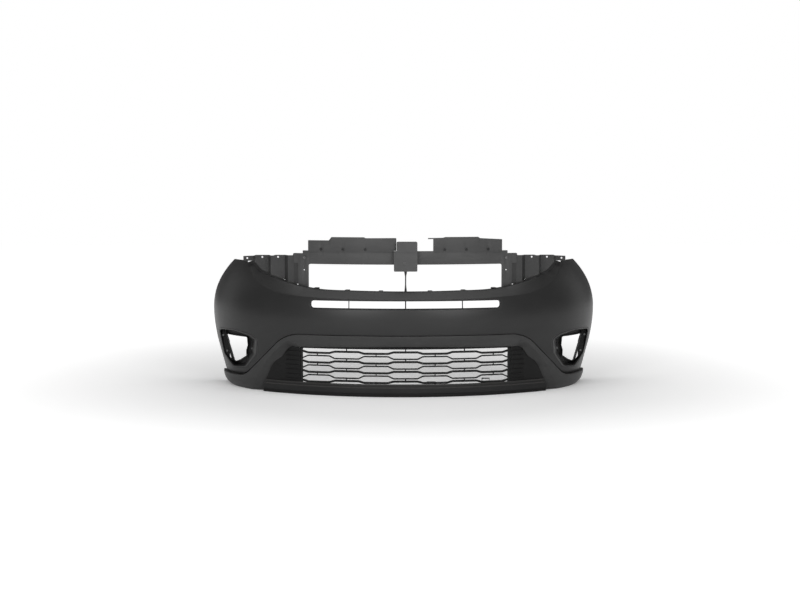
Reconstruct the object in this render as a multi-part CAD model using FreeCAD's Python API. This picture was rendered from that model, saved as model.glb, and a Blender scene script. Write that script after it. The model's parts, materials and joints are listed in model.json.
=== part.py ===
"""Front bumper cover of a compact road car, as the assembly that bolts to the car: painted skin, lower trim,
mesh grille, valance, upper support frame, lamp brackets and the clips and screws that hold them together.

Frame: millimetres, +Z up, the front faces -Y, -X is the left side seen from the front. The origin is at the
middle of the overall box in X and Y, on the plane that the lower edge stands on.
"""
import FreeCAD
import Part
import math
import os

V = FreeCAD.Vector

# ---------------------------------------------------------------- overall sizes
WIDTH = 1820.0            # over the wheel arch ends of the skin
DEPTH = 560.0             # nose to wheel arch
FRONT_Y = -DEPTH / 2
REAR_Y = DEPTH / 2
WALL = 3.0                # moulded wall of every large shell
LIP = 16.0                # turned-in lips along the seams

# ---------------------------------------------------------------- skin form
WAIST_Z = 365.0           # height of the widest line
SIDE_R_UP = 277.0         # side section's radius at the waist, above it
SIDE_R_DOWN = 650.0       # and below it
SIDE_STRAIGHT_Z = 195.0   # the side is straight from here down
NOSE_Z = 338.0            # height of the most forward line
NOSE_R_UP = 260.0         # centre section's radius there, above the line
NOSE_R_DOWN = 600.0       # and below it
SKIN_TOP_Z = 591.0        # flat top of the skin beside the fender

CREASE_Z = 434.0          # front edge of the grille ledge at the centre
LEDGE_LINE = ((0.0, 0.0, 34.0), (250.0, 2.5, 37.0), (424.0, 9.0, 43.0), (560.0, 21.0, 69.0),
              (640.0, 48.0, 94.0), (700.0, 92.0, 118.0), (726.0, 150.0, 155.0))
#              ^ distance from the centre, height of crease and of ledge top above CREASE_Z
LEDGE_RUN = 39.0          # how far the ledge slopes back
SHELF_RUN = 28.0          # flat shelf behind it
LEDGE_WALL = 3.2

SEAM_Z = 275.0            # seam between skin and lower trim, at the centre
SEAM_LOW_Z = 61.0         # the same seam beside the wheel arch
SEAM_KNEE_X = 541.0       # where the seam starts down the leg
SEAM_FOOT_X = 745.0       # where it levels out again
SEAM_GAP = 1.2

SLOT_HALF = 423.0         # upper intake slot
SLOT_LOW_Z = 393.0
SLOT_HIGH_Z = 431.0
SLOT_END_R = 15.0
SLOT_FLANGE = 22.0
INSERT_CLEAR = 0.4        # slot insert inside the slot's return
INSERT_WALL = 2.4
INSERT_SET = 3.0          # insert lies this far behind the skin face
INSERT_RIB_X = 252.0

# ---------------------------------------------------------------- lower trim
TRIM_PROUD = 6.0          # trim face stands this far out of the skin face
TRIM_FLANGE = 46.0        # return around the grille opening
TRIM_HIP_Z = 58.0         # widest height of the trim's wing
TRIM_HIP_HALF = 866.0
TRIM_HIP_R = 70.0
WING_LIP = 46.0           # deeper lip where the wing stands out from the skin
WING_LIP_X = 700.0
MOUTH_TOP_Z = 226.0       # grille opening at the centre
MOUTH_SHOULDER_X = 537.0
MOUTH_SHOULDER_Z = 216.0
MOUTH_KNEE_X = 608.0
MOUTH_KNEE_Z = 122.0
MOUTH_FOOT_X = 662.0
FOOT_WALL = 14.0          # turned-in sole the trim stands on

# ---------------------------------------------------------------- wheel arch and fender seam (side view)
ARCH_Y = 612.0
ARCH_Z = 140.0
ARCH_R = 350.0
FENDER_TOP_Y = 196.0
FENDER_LOW_Z = 330.0
FENDER_INSET = 0.3        # slide rail clear of the skin's inner face
FENDER_BACK = 4.0         # rail in front of the fender seam
FENDER_W = 22.0
FENDER_HOLES = 4
FENDER_PITCH = 62.0
FENDER_HOLE_R = 3.3

# ---------------------------------------------------------------- lower grille
GRILLE_R = 1560.0         # plan radius of the grille face
GRILLE_INSET = 50.0       # grille face behind the nose
GRILLE_DEEP = 18.0        # fin depth
HALF_PITCH = 132.0        # one column of cells
COLUMNS = 7
ROW_PITCH = 43.8          # height from one thick bar to the next
TOP_BAR_Z = 189.4         # first thick bar, at the odd columns
BAR_LIFT = 7.0            # thick bars stand higher at the even columns
THICK_BAR = 8.0
THIN_BAR = 4.6
TIE = 4.6                 # upright ties in the narrow cells
NARROW = 12.6             # thick bar to thin bar across a narrow cell
SLOPE_RUN = 24.0          # length of a bar's slanted stretch
MESH_TOP_Z = 210.0
MESH_LOW_Z = 51.0
GRILLE_LOW_Z = 44.0
GRILLE_RIM = 12.0         # rim outside the mesh, at both ends
MOUTH_CLEAR = 1.0         # grille and side panels inside the trim's return

PANEL_OUTER_X = 668.0     # closed side panels beside the mesh
PANEL_GAP = 0.6
PANEL_WALL = 2.6
PANEL_BACK = 100.0        # how far the outer end lies behind the mesh end
PANEL_LOUVRES = 7
LOUVRE_FIRST = 22.0       # lowest louvre above the panel's lower edge
LOUVRE_PITCH = 21.0
LOUVRE_RUN = 66.0         # louvres reach this far from the mesh
LOUVRE_DEEP = 9.0
LOUVRE_THICK = 3.0

SENSOR_X = (115.0, 362.0)
SENSOR_HALF = (20.0, 18.0)
SENSOR_HIGH = (11.0, 22.0)
SENSOR_DEEP = 26.0

# ---------------------------------------------------------------- valance and air dam
VALANCE_R = 1207.0        # plan radius
VALANCE_HALF = 652.0
VALANCE_INSET = 14.0      # valance face behind the nose
VALANCE_FACE_Z = 41.0     # top of the face, below the groove
VALANCE_TOP_Z = 57.0
GROOVE_DEEP = 8.0
VALANCE_SHELF = 30.0
VALANCE_CLIP_X = (0.0, 215.0, 430.0)
DAM_HEIGHT = 16.0
DAM_THICK = 5.0
DAM_BACK = 6.0            # dam behind the valance face

# ---------------------------------------------------------------- upper support frame
FRAME_R = 1374.0          # plan radius of the frame face
FRAME_INSET = 80.0
FRAME_DEEP = 16.0         # stiffening flanges
BEAM_LOW_Z = 587.0
BEAM_TOP_Z = 647.0
WINDOW_HALF = 435.0
WINDOW_R = 9.0
BEAM_HALF = 462.0
BEAM_STEP = 12.0
FRAME_HALF = 483.0
EAR_HALF = 504.0          # upper ends of the frame reach out to here
EAR_LOW_Z = 590.0
FRAME_LOW_Z = 424.0
LUG_W = 26.0              # lugs on the beam that the deflectors clip to
LUG_TOP_Z = 666.0
RAIL_TOP_Z = 464.6
FRAME_SCREW_X = 455.0
FRAME_SCREW_Z = (615.0, 560.0)
FRAME_CLEAR = 0.8         # skin's shelf clear of the frame's posts

DEFLECTOR_LOW_Z = 642.0
DEFLECTOR_T = 2.5
PRONG = 23.0              # finger at the inner top corner of the right deflector
PRONG_H = 5.0
CLIP_Z = 654.0
CLIP_X = (-377.0, -279.0, -179.0, 174.0, 272.0, 371.0)
CLIP_HEAD_R = 6.5
CLIP_HEAD_T = 2.4
CLIP_SHANK_R = 3.8
CLIP_FIT = 0.2            # radial clearance of the shank in deflector and lug
CLIP_HOLE_R = CLIP_SHANK_R + CLIP_FIT
CLIP_LENGTH = 13.0
PIN_R = 2.4
PIN_FIT = 0.1             # radial clearance of the pin in its bore, and of its head in the pocket
PIN_BORE_R = PIN_R + PIN_FIT
PIN_HEAD_R = 3.9
PIN_HEAD_T = 1.3
PIN_POCKET_R = PIN_HEAD_R + PIN_FIT

BLOCK_HALF = 52.0
BLOCK_LOW_Z = 558.0
BLOCK_TOP_Z = 690.0
BLOCK_DEEP = 30.0
BLOCK_WALL = 3.0
BLOCK_SPLIT_Z = 648.0
BLOCK_STEP = 12.0         # upper half is narrower on its left
BLOCK_CLEAR = 0.8         # deflector clear of the block
BLOCK_SCREW_X = -5.0
BLOCK_SCREW_Z = 595.0
BLOCK_PILLAR_R = 7.0
DEFLECTOR_TOP = ((-437.0, 694.0), (-343.0, 694.0), (-331.0, 709.0), (-185.0, 709.0), (-178.0, 705.0),
                 (BLOCK_STEP - BLOCK_HALF - 1.0, 706.0))
DEFLECTOR_TOP_RIGHT = ((123.0, 706.0), (168.0, 707.0), (176.0, 710.0), (326.0, 710.0), (334.0, 704.0),
                       (436.0, 698.0))
STRUT_R = 2.8
STRUT_FLARE_R = 7.0
STRUT_FLARE = 22.0
STRUT_COLLAR_R = 5.5      # thicker stretch above the shelf
STRUT_COLLAR = 30.0
STRUT_AHEAD = 14.0        # strut centre in front of the frame face
STRUT_NOTCH = 1.5         # clearance round the strut where it passes the shelf
FOOT_HALF = 15.0
FOOT_THICK = 3.0

# ---------------------------------------------------------------- headlamp brackets
BRACKET_START_X = 441.0
BRACKET_BEND_X = 530.0    # the wall follows the frame to here, then steps back
BRACKET_STEPS = ((546.0, -66.0), (610.0, -66.0), (624.0, -14.0), (684.0, -14.0), (697.0, 38.0),
                 (745.0, 38.0))
BRACKET_TOP = ((440.0, 633.0), (506.0, 633.0), (508.0, 624.0), (590.0, 624.0), (600.0, 621.0),
               (684.0, 621.0), (697.0, 615.0), (750.0, 613.0))
BRACKET_WALL = 3.0
BRACKET_BEHIND = 0.2      # wall clear of the frame's rear face
BRACKET_HOLES = ((577.0, -66.0), (653.0, -14.0), (727.0, 38.0))
BRACKET_HOLE_DROP = 9.0   # hole below the top edge
BRACKET_HOLE_R = 4.0
BRACKET_CLEAR = 0.6       # bracket foot above the ledge
BRACKET_LEDGE = 14.0      # turned-back top edge
RIB_THICK = 2.5
RIB_DEEP = 9.0

# ---------------------------------------------------------------- fog lamp pocket
POCKET_DEEP = 36.0
FOG_LIP = 12.0
FOG_WALL = 3.0
FOG_SIDE_X = 826.0        # web that closes the bracket to the skin, outboard
FOG_SIDE_Y = 168.0
FOG_BOSS_R = 6.5
FOG_BOSS_H = 5.0
FOG_SCREW_R = 2.2
FOG_SCREW_INNER = (702.0, 190.0)
FOG_SCREW_OUTER = ((856.0, 233.0), (838.0, 158.0))

SCREW_HEAD_R = 6.0
SCREW_HEAD_T = 2.5
SCREW_R = 2.5
SCREW_FREE_R = 4.5        # where a carrier screw passes the bracket behind the frame

SEAM_CLIP_X = (80.0, 240.0, 400.0)
SEAM_CLIP_W = 16.0
LEDGE_CLIP_X = (110.0, 260.0, 400.0)
LEDGE_CLIP_W = 18.0
CLIP_SHEET = 2.0
CLIP_ARM = 9.0
CLIP_GAP = 0.3            # between a spring clip and what it grips

# outlines in the front view: x, z and corner rounding
POCKET = ((868.0, 266.0, 14.0), (788.0, 271.0, 20.0), (712.0, 257.0, 20.0), (678.0, 236.0, 16.0),
          (685.0, 172.0, 20.0), (738.0, 104.0, 20.0), (800.0, 96.0, 16.0), (850.0, 150.0, 30.0))
FOG_HOLE = ((838.0, 243.0, 8.0), (727.0, 243.0, 6.0), (725.0, 204.0, 5.0), (734.0, 178.0, 3.0),
            (734.0, 152.0, 5.0), (769.0, 126.0, 4.0), (799.0, 110.0, 6.0))

GRID_ROUND = 24           # skin surface stations around and up
GRID_UP = 18


# ================================================================ drawing helpers
def sag(distance, radius):
    """Drop of a circle of this radius, this far from its crown."""
    return radius - math.sqrt(radius * radius - distance * distance)


def bow(distance, radius):
    """The same for a parabola with this radius at its crown."""
    return distance * distance / (2 * radius)


def rounded_wire(corners, to_space):
    """Closed wire through corners (a, b[, radius]), each with its own rounding."""
    n = len(corners)
    ends, arcs = [], []
    for i, corner in enumerate(corners):
        p = V(corner[0], corner[1], 0)
        before = V(corners[i - 1][0], corners[i - 1][1], 0) - p
        after = V(corners[(i + 1) % n][0], corners[(i + 1) % n][1], 0) - p
        radius = corner[2] if len(corner) > 2 else 0.0
        if radius <= 0:
            ends.append((p, p))
            arcs.append(None)
            continue
        before.normalize()
        after.normalize()
        half = before.getAngle(after) / 2
        reach = radius / math.tan(half)
        middle = before + after
        middle.normalize()
        centre = p + middle * (radius / math.sin(half))
        ends.append((p + before * reach, p + after * reach))
        arcs.append(centre - middle * radius)
    edges = []
    for i in range(n):
        start, stop = ends[i]
        if arcs[i] is not None:
            edges.append(Part.Arc(to_space(start), to_space(arcs[i]), to_space(stop)).toShape())
        following = ends[(i + 1) % n][0]
        if (following - stop).Length > 1e-6:
            edges.append(Part.makeLine(to_space(stop), to_space(following)))
    return Part.Wire(edges)


def front_prism(corners, y_from=-500.0, y_to=500.0):
    """Solid whose front view is the rounded outline."""
    wire = rounded_wire(corners, lambda p: V(p.x, y_from, p.y))
    return Part.Face(wire).extrude(V(0, y_to - y_from, 0))


def side_prism(corners):
    wire = rounded_wire(corners, lambda p: V(-WIDTH, p.x, p.y))
    return Part.Face(wire).extrude(V(2 * WIDTH, 0, 0))


def plan_prism(corners, z_from, z_to):
    wire = rounded_wire(corners, lambda p: V(p.x, p.y, z_from))
    return Part.Face(wire).extrude(V(0, 0, z_to - z_from))


def both_sides(right_half):
    """Outline from its right half, which starts and ends near the centre plane."""
    left_half = [(-c[0],) + tuple(c[1:]) for c in reversed(right_half)]
    return list(right_half) + left_half


def mirrored(shape):
    return shape.mirror(V(0, 0, 0), V(1, 0, 0))


def drum(radius, axis_y, thick, z_from, z_to, half_x):
    """Slab bent round a vertical axis, its outer face at radius."""
    outer = Part.makeCylinder(radius, z_to - z_from, V(0, axis_y, z_from))
    inner = Part.makeCylinder(radius - thick, z_to - z_from, V(0, axis_y, z_from))
    front = Part.makeBox(2 * half_x, radius, z_to - z_from, V(-half_x, axis_y - radius, z_from))
    return outer.cut(inner).common(front)


def turned(shape, axis_y, x, radius):
    """Moves a shape modelled at x = 0 round the vertical axis until it is centred at x."""
    angle = math.degrees(math.asin(x / radius))
    moved = shape.copy()
    moved.rotate(V(0, axis_y, 0), V(0, 0, 1), angle)
    return moved


def rod(radius, length, start, direction=V(0, 1, 0)):
    return Part.makeCylinder(radius, length, start, direction)


def one_solid(shape):
    """The shape as a clean single solid; faces that cannot be joined with their neighbours stay as they are."""
    try:
        shape = shape.removeSplitter()
    except Part.OCCError:
        print("faces left unmerged")
    solids = sorted(shape.Solids, key=lambda s: -s.Volume)
    return solids[0]


def save(name, shape):
    os.makedirs("parts", exist_ok=True)
    shape.exportStep(os.path.join("parts", name + ".step"))
    print(name, "solids", len(shape.Solids), "valid", shape.isValid(), "cm3", round(shape.Volume / 1000, 1))


# ================================================================ skin surface
def half_width(z):
    """A parabola each way from the waist, and its tangent below SIDE_STRAIGHT_Z."""
    bend_z = max(z, SIDE_STRAIGHT_Z)
    curved = WIDTH / 2 - bow(bend_z - WAIST_Z, SIDE_R_UP if z > WAIST_Z else SIDE_R_DOWN)
    return curved - (bend_z - z) * (WAIST_Z - SIDE_STRAIGHT_Z) / SIDE_R_DOWN


def nose_inset(z):
    return bow(z - NOSE_Z, NOSE_R_UP if z > NOSE_Z else NOSE_R_DOWN)


def trim_half_width(z):
    """The trim follows the skin, and its wing swells to the hip and tucks under it."""
    if z < TRIM_HIP_Z:
        return TRIM_HIP_HALF - sag(TRIM_HIP_Z - z, TRIM_HIP_R)
    blend = math.exp(-(((z - TRIM_HIP_Z) / 60.0) ** 2))
    return half_width(z) + TRIM_PROUD + (TRIM_HIP_HALF - half_width(TRIM_HIP_Z) - TRIM_PROUD) * blend


def trim_nose_inset(z):
    return nose_inset(z) - TRIM_PROUD if z > 110.0 else nose_inset(110.0) - TRIM_PROUD - (110.0 - z) * 0.16


def skin_point(angle, z, inset, widths, noses):
    a = widths(z) - inset
    n = noses(z) + inset
    return V(a * math.sin(angle), FRONT_Y + n + (DEPTH - n) * (1 - math.cos(angle)), z)


def skin_face(inset, z_from, z_to, widths, noses):
    """Elliptical plan section, swept up the side and nose sections."""
    rows = []
    for i in range(GRID_ROUND + 1):
        angle = math.radians(-90 + 180 * i / GRID_ROUND)
        rows.append([skin_point(angle, z_from + (z_to - z_from) * j / GRID_UP, inset, widths, noses)
                     for j in range(GRID_UP + 1)])
    surface = Part.BSplineSurface()
    surface.interpolate(rows)
    return surface.toShape()


def skin_slab(inset_front, inset_back, z_from, z_to, widths=half_width, noses=nose_inset):
    """Solid between two copies of the skin surface, closed with ruled edges."""
    front = skin_face(inset_front, z_from, z_to, widths, noses)
    back = skin_face(inset_back, z_from, z_to, widths, noses)
    faces = [front, back]
    for a, b in zip(front.Edges, back.Edges):
        faces.append(Part.makeRuledSurface(a, b))
    shell = Part.makeShell(faces)
    shell.sewShape()
    solid = Part.makeSolid(shell)
    if solid.Volume < 0:
        solid.reverse()
    return solid


def seam_region(drop):
    """Front outline of everything below the seam, lowered by drop."""
    lean = drop * 0.7
    return both_sides([(1.0, SEAM_Z - drop), (SEAM_KNEE_X - lean, SEAM_Z - drop, 150.0),
                       (SEAM_FOOT_X - lean, SEAM_LOW_Z - drop, 80.0), (WIDTH, SEAM_LOW_Z - drop),
                       (WIDTH, -200.0), (1.0, -200.0)])


def below_seam(drop):
    return front_prism(seam_region(drop))


def ledge_heights(x):
    """Crease height and ledge top height at this distance from the centre, smoothed through LEDGE_LINE."""
    x = abs(x)
    stations = [(-p[0], p[1], p[2]) for p in reversed(LEDGE_LINE[1:])] + list(LEDGE_LINE)
    k = max(i for i in range(len(stations) - 1) if stations[i][0] <= x or i == 0)
    left, right = stations[k], stations[k + 1]
    t = (x - left[0]) / (right[0] - left[0])
    values = []
    for column in (1, 2):
        ends = []
        for i in (k, k + 1):
            low, high = max(i - 1, 0), min(i + 1, len(stations) - 1)
            climb = stations[high][column] - stations[low][column]
            ends.append(climb / (stations[high][0] - stations[low][0]))
        span = right[0] - left[0]
        a, b = left[column], right[column]
        values.append(a * (2 * t ** 3 - 3 * t ** 2 + 1) + b * (3 * t ** 2 - 2 * t ** 3)
                      + span * ends[0] * (t ** 3 - 2 * t ** 2 + t) + span * ends[1] * (t ** 3 - t ** 2))
    return CREASE_Z + values[0], CREASE_Z + values[1]


def ledge_stations(count=28):
    """Distances from the centre at which the ledge is drawn, closer together towards its steep ends."""
    last = LEDGE_LINE[-1][0]
    half = [last * math.sin(math.pi / 2 * i / count) for i in range(count + 1)]
    return [-x for x in reversed(half[1:])] + half


def ledge_runs(x):
    """Rise of the sloping band at this section, and how far it runs back."""
    crease, top = ledge_heights(x)
    rise = top - crease
    return rise, min(LEDGE_RUN, LEDGE_RUN * (0.35 + 0.65 * rise / LEDGE_RUN))


def shelf_back_edge():
    """Front view of the shelf's rear edge: (x, z) of every ledge section."""
    edge = []
    for x in ledge_stations():
        crease, top = ledge_heights(x)
        angle = math.asin(x / half_width(crease))
        back = skin_point(angle, crease, ledge_runs(x)[1] + SHELF_RUN, half_width, nose_inset)
        edge.append((back.x, top))
    return edge


def shelf_height(x):
    """Height of the shelf's rear edge at this front-view distance from the centre."""
    edge = shelf_back_edge()
    for (x0, z0), (x1, z1) in zip(edge, edge[1:]):
        if x0 <= x <= x1:
            return z0 + (z1 - z0) * (x - x0) / (x1 - x0)
    return edge[-1][1]


def above_line(line):
    """Everything above a smooth line in the front view."""
    points = [V(x, -500, z) for x, z in line]
    curve = Part.BSplineCurve()
    curve.interpolate(points)
    first, last = points[0], points[-1]
    top = SKIN_TOP_Z + 200
    loop = [curve.toShape(), Part.makeLine(last, V(last.x, -500, top)),
            Part.makeLine(V(last.x, -500, top), V(first.x, -500, top)),
            Part.makeLine(V(first.x, -500, top), first)]
    return Part.Face(Part.Wire(loop)).extrude(V(0, 1000, 0))


def above_crease():
    return above_line([(x, ledge_heights(x)[0]) for x in ledge_stations()])


def section_solid(sections):
    """Solid through a row of flat closed sections with the same number of corners."""
    count = len(sections[0])
    rails = []
    for k in range(count):
        curve = Part.BSplineCurve()
        curve.interpolate([section[k] for section in sections])
        rails.append(curve.toShape())
    faces = [Part.makeRuledSurface(rails[k], rails[(k + 1) % count]) for k in range(count)]
    for section in (sections[0], sections[-1]):
        faces.append(Part.Face(Part.makePolygon(section + [section[0]])))
    shell = Part.makeShell(faces)
    shell.sewShape()
    solid = Part.makeSolid(shell)
    if solid.Volume < 0:
        solid.reverse()
    return solid


def ledge_solid():
    """Sloping band behind the crease, and the shelf behind that."""
    sections = []
    for x in ledge_stations():
        crease, top = ledge_heights(x)
        angle = math.asin(x / half_width(crease))
        rise, run = ledge_runs(x)
        slope = 2.4
        if abs(x) < LEDGE_LINE[-1][0] - 1:
            slope = ledge_heights(x + 0.5)[0] - ledge_heights(x - 0.5)[0]
        steep = math.sqrt(1.0 + slope * slope)

        def at(inset, up, angle=angle, crease=crease):
            p = skin_point(angle, crease, inset, half_width, nose_inset)
            return p + V(0, 0, up)

        outer, inner, back = at(WALL * 0.4, -0.8 * steep), at(run, rise), at(run + SHELF_RUN, rise)
        sections.append([outer, inner, back, back - V(0, 0, LEDGE_WALL),
                         at(run + LEDGE_WALL * 0.4, rise - LEDGE_WALL),
                         at(WALL * 0.7, -LEDGE_WALL * 1.5 * steep)])
    return section_solid(sections)


def rear_prism():
    """Everything in front of the fender seam and the wheel arch, in the side view."""
    arch_low = ARCH_Y - math.sqrt(ARCH_R ** 2 - (ARCH_Z + 60) ** 2)
    body = side_prism([(-600.0, -60.0), (arch_low, -60.0), (REAR_Y + 60, -60.0), (REAR_Y + 60, FENDER_LOW_Z),
                       (REAR_Y, FENDER_LOW_Z, 40.0), (FENDER_TOP_Y, SKIN_TOP_Z, 12.0),
                       (FENDER_TOP_Y - 30, SKIN_TOP_Z + 60), (-600.0, SKIN_TOP_Z + 60)])
    return body.cut(rod(ARCH_R, 2 * WIDTH, V(-WIDTH, ARCH_Y, ARCH_Z), V(1, 0, 0)))


# ================================================================ main skin
def slot_outline(grow=0.0):
    r = SLOT_END_R + grow
    return [(-SLOT_HALF - grow, SLOT_LOW_Z - grow, r), (SLOT_HALF + grow, SLOT_LOW_Z - grow, r),
            (SLOT_HALF + grow, SLOT_HIGH_Z + grow, r), (-SLOT_HALF - grow, SLOT_HIGH_Z + grow, r)]


def pocket_outline(grow=0.0):
    """Fog lamp pocket in the front view; it grows away from its middle."""
    middle_x = sum(p[0] for p in POCKET) / len(POCKET)
    middle_z = sum(p[1] for p in POCKET) / len(POCKET)
    points = []
    for x, z, r in POCKET:
        scale = 1.15 * grow / math.hypot(x - middle_x, z - middle_z)
        points.append((x + (x - middle_x) * scale, z + (z - middle_z) * scale, r))
    return points


def main_fascia():
    rear = rear_prism()
    skin = skin_slab(0.0, WALL, -10.0, SKIN_TOP_Z)
    skin = skin.cut(above_crease()).cut(below_seam(0.0))
    skin = skin.fuse(ledge_solid())
    lip = below_seam(-WALL).cut(below_seam(0.0)).common(skin_slab(0.4, LIP, 20.0, 400.0))
    ring = front_prism(slot_outline(WALL)).cut(front_prism(slot_outline()))
    skin = skin.fuse([lip, ring.common(skin_slab(0.4, SLOT_FLANGE, 360.0, 460.0))])
    skin = skin.cut(front_prism(slot_outline()))
    wall = front_prism(pocket_outline(WALL)).cut(front_prism(pocket_outline()))
    wall = wall.common(skin_slab(0.4, POCKET_DEEP, 60.0, 320.0))
    hole = front_prism(pocket_outline())
    skin = skin.fuse([wall, mirrored(wall)]).cut([hole, mirrored(hole)])
    skin = skin.common(rear)
    skin = skin.cut(strut_path(STRUT_NOTCH)).cut(frame_room())
    return one_solid(skin)


def frame_room():
    """Space that the support frame's posts take up behind the ledge."""
    room = drum(FRAME_R + FRAME_CLEAR, frame_axis_y(), FRAME_DEEP + 2 * FRAME_CLEAR,
                FRAME_LOW_Z - 1.0, BEAM_TOP_Z, FRAME_HALF + FRAME_CLEAR)
    window = Part.makeBox(2 * (WINDOW_HALF - FRAME_CLEAR), DEPTH, 300.0,
                          V(-WINDOW_HALF + FRAME_CLEAR, FRONT_Y, FRAME_LOW_Z - 10.0))
    return room.cut(window)


# ================================================================ lower trim
def mouth_outline(inside=0.0, foot_z=-60.0):
    """Grille opening in the trim, made smaller all round by inside."""
    lean = inside * 1.15
    slope = (MOUTH_FOOT_X - MOUTH_KNEE_X) / MOUTH_KNEE_Z
    return both_sides([(1.0, MOUTH_TOP_Z - inside), (430.0, MOUTH_TOP_Z - 7.0 - inside, 900.0),
                       (MOUTH_SHOULDER_X - lean * 0.5, MOUTH_SHOULDER_Z - inside, 46.0),
                       (MOUTH_KNEE_X - lean, MOUTH_KNEE_Z, 160.0),
                       (MOUTH_FOOT_X - lean - foot_z * slope, foot_z), (1.0, foot_z)])


def trim_slab(inset_front, inset_back, z_from, z_to):
    return skin_slab(inset_front, inset_back, z_from, z_to, trim_half_width, trim_nose_inset)


def lower_trim():
    """Face, sole, mouth return and seam lips, each cut to its place and then joined one after the other."""
    limit = rear_prism()
    mouth = front_prism(mouth_outline())
    under_seam = below_seam(SEAM_GAP)
    edge_band = under_seam.cut(below_seam(SEAM_GAP + WALL))
    lip = edge_band.common(trim_slab(0.4, LIP + TRIM_PROUD, 20.0, 400.0))
    tuck = edge_band.common(trim_slab(0.4, WING_LIP, 20.0, 200.0))
    tuck = tuck.cut(Part.makeBox(2 * WING_LIP_X, 1200, 900, V(-WING_LIP_X, -600, -100)))
    sole = trim_slab(0.4, FOOT_WALL, 0.0, WALL).cut(mouth)
    ring = front_prism(mouth_outline(-WALL)).cut(mouth)
    ring = ring.common(trim_slab(0.4, TRIM_FLANGE, 0.0, SEAM_Z - 20))
    trim = trim_slab(0.0, WALL, 0.0, SEAM_Z + 20).cut(mouth).common(under_seam).common(limit)
    for piece in (sole, ring, lip, tuck):
        trim = trim.fuse(piece.common(limit))
    return one_solid(trim)


# ================================================================ grille
def grille_axis_y():
    return FRONT_Y + GRILLE_INSET + GRILLE_R


def bar_outline(odd_z, even_z, thick):
    """Zig-zag bar: flat at each column, sloping in between."""
    line = []
    for i in range(1, COLUMNS + 1):
        x = (i - (COLUMNS + 1) / 2) * HALF_PITCH
        z = odd_z if i % 2 else even_z
        half_flat = (HALF_PITCH - SLOPE_RUN) / 2
        line += [(x - half_flat, z), (x + half_flat, z)]
    half = COLUMNS * HALF_PITCH / 2
    line[0] = (SLOPE_RUN - half, odd_z)
    line[-1] = (half - SLOPE_RUN, odd_z)
    line = [(-half, even_z)] + line + [(half, even_z)]
    upper = [(x, z + thick / 2) for x, z in line]
    lower = [(x, z - thick / 2) for x, z in reversed(line)]
    return upper + lower


def lower_grille():
    axis_y = grille_axis_y()
    half = COLUMNS * HALF_PITCH / 2
    bars = []
    rows = int((TOP_BAR_Z - MESH_LOW_Z) / ROW_PITCH) + 1
    for k in range(rows):
        thick_z = TOP_BAR_Z - k * ROW_PITCH
        thin_odd = thick_z - NARROW
        thin_even = thick_z - ROW_PITCH + BAR_LIFT + NARROW
        bars.append(bar_outline(thick_z, thick_z + BAR_LIFT, THICK_BAR))
        if k < rows - 1:
            bars.append(bar_outline(thin_odd, thin_even, THIN_BAR))
        for i in range(1, COLUMNS + 1):
            x = (i - (COLUMNS + 1) / 2) * HALF_PITCH
            if i % 2:
                low, high = (thin_odd if k < rows - 1 else MESH_LOW_Z - 2), thick_z
            else:
                low = thick_z + BAR_LIFT
                high = MESH_TOP_Z + 2 if k == 0 else thick_z + BAR_LIFT + NARROW
            bars.append([(x - TIE / 2, low), (x + TIE / 2, low), (x + TIE / 2, high), (x - TIE / 2, high)])
    fins = front_prism(bars[0])
    fins = fins.fuse([front_prism(bar) for bar in bars[1:]])
    fins = fins.common(drum(GRILLE_R, axis_y, GRILLE_DEEP, 0.0, 300.0, half + 2))
    reach = half + GRILLE_RIM
    border = [(-reach, GRILLE_LOW_Z), (reach, GRILLE_LOW_Z), (reach, 260.0), (-reach, 260.0)]
    window = [(-half, MESH_LOW_Z, 4.0), (half, MESH_LOW_Z, 4.0),
              (half, MESH_TOP_Z, 4.0), (-half, MESH_TOP_Z, 4.0)]
    rim = front_prism(border).cut(front_prism(window)).common(front_prism(mouth_outline(MOUTH_CLEAR)))
    rim = rim.common(drum(GRILLE_R, axis_y, GRILLE_DEEP, 0.0, 300.0, half + 20))
    return one_solid(rim.fuse(fins))


def grille_side_panel():
    """Right-hand panel: closed wall between mesh and trim leg, with louvres beside the mesh."""
    half = COLUMNS * HALF_PITCH / 2 + GRILLE_RIM + PANEL_GAP
    start_y = FRONT_Y + GRILLE_INSET + sag(half, GRILLE_R)
    lean = PANEL_BACK / (PANEL_OUTER_X - half)
    top_z = MOUTH_TOP_Z + 14.0
    wall = plan_prism([(half, start_y), (PANEL_OUTER_X, start_y + PANEL_BACK),
                       (PANEL_OUTER_X, start_y + PANEL_BACK + PANEL_WALL), (half, start_y + PANEL_WALL)],
                      GRILLE_LOW_Z, top_z)
    fins = []
    for i in range(PANEL_LOUVRES):
        z = GRILLE_LOW_Z + LOUVRE_FIRST + i * LOUVRE_PITCH
        end_x = half + LOUVRE_RUN
        end_y = start_y + LOUVRE_RUN * lean
        fins.append(plan_prism([(half + 2, start_y - LOUVRE_DEEP * 0.4), (end_x, end_y - LOUVRE_DEEP),
                                (end_x, end_y + 1), (half + 2, start_y + 2)], z, z + LOUVRE_THICK))
    side = plan_prism([(half, start_y), (half + PANEL_WALL, start_y), (half + PANEL_WALL, start_y + GRILLE_DEEP),
                       (half, start_y + GRILLE_DEEP)], GRILLE_LOW_Z, top_z)
    panel = wall.fuse(fins + [side]).common(front_prism(mouth_outline(MOUTH_CLEAR)))
    clear = drum(VALANCE_R + 2.0, valance_axis_y(), GROOVE_DEEP + WALL + 3.0, 0.0, VALANCE_TOP_Z + MOUTH_CLEAR,
                 PANEL_OUTER_X)
    return one_solid(panel.cut(clear))


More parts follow.
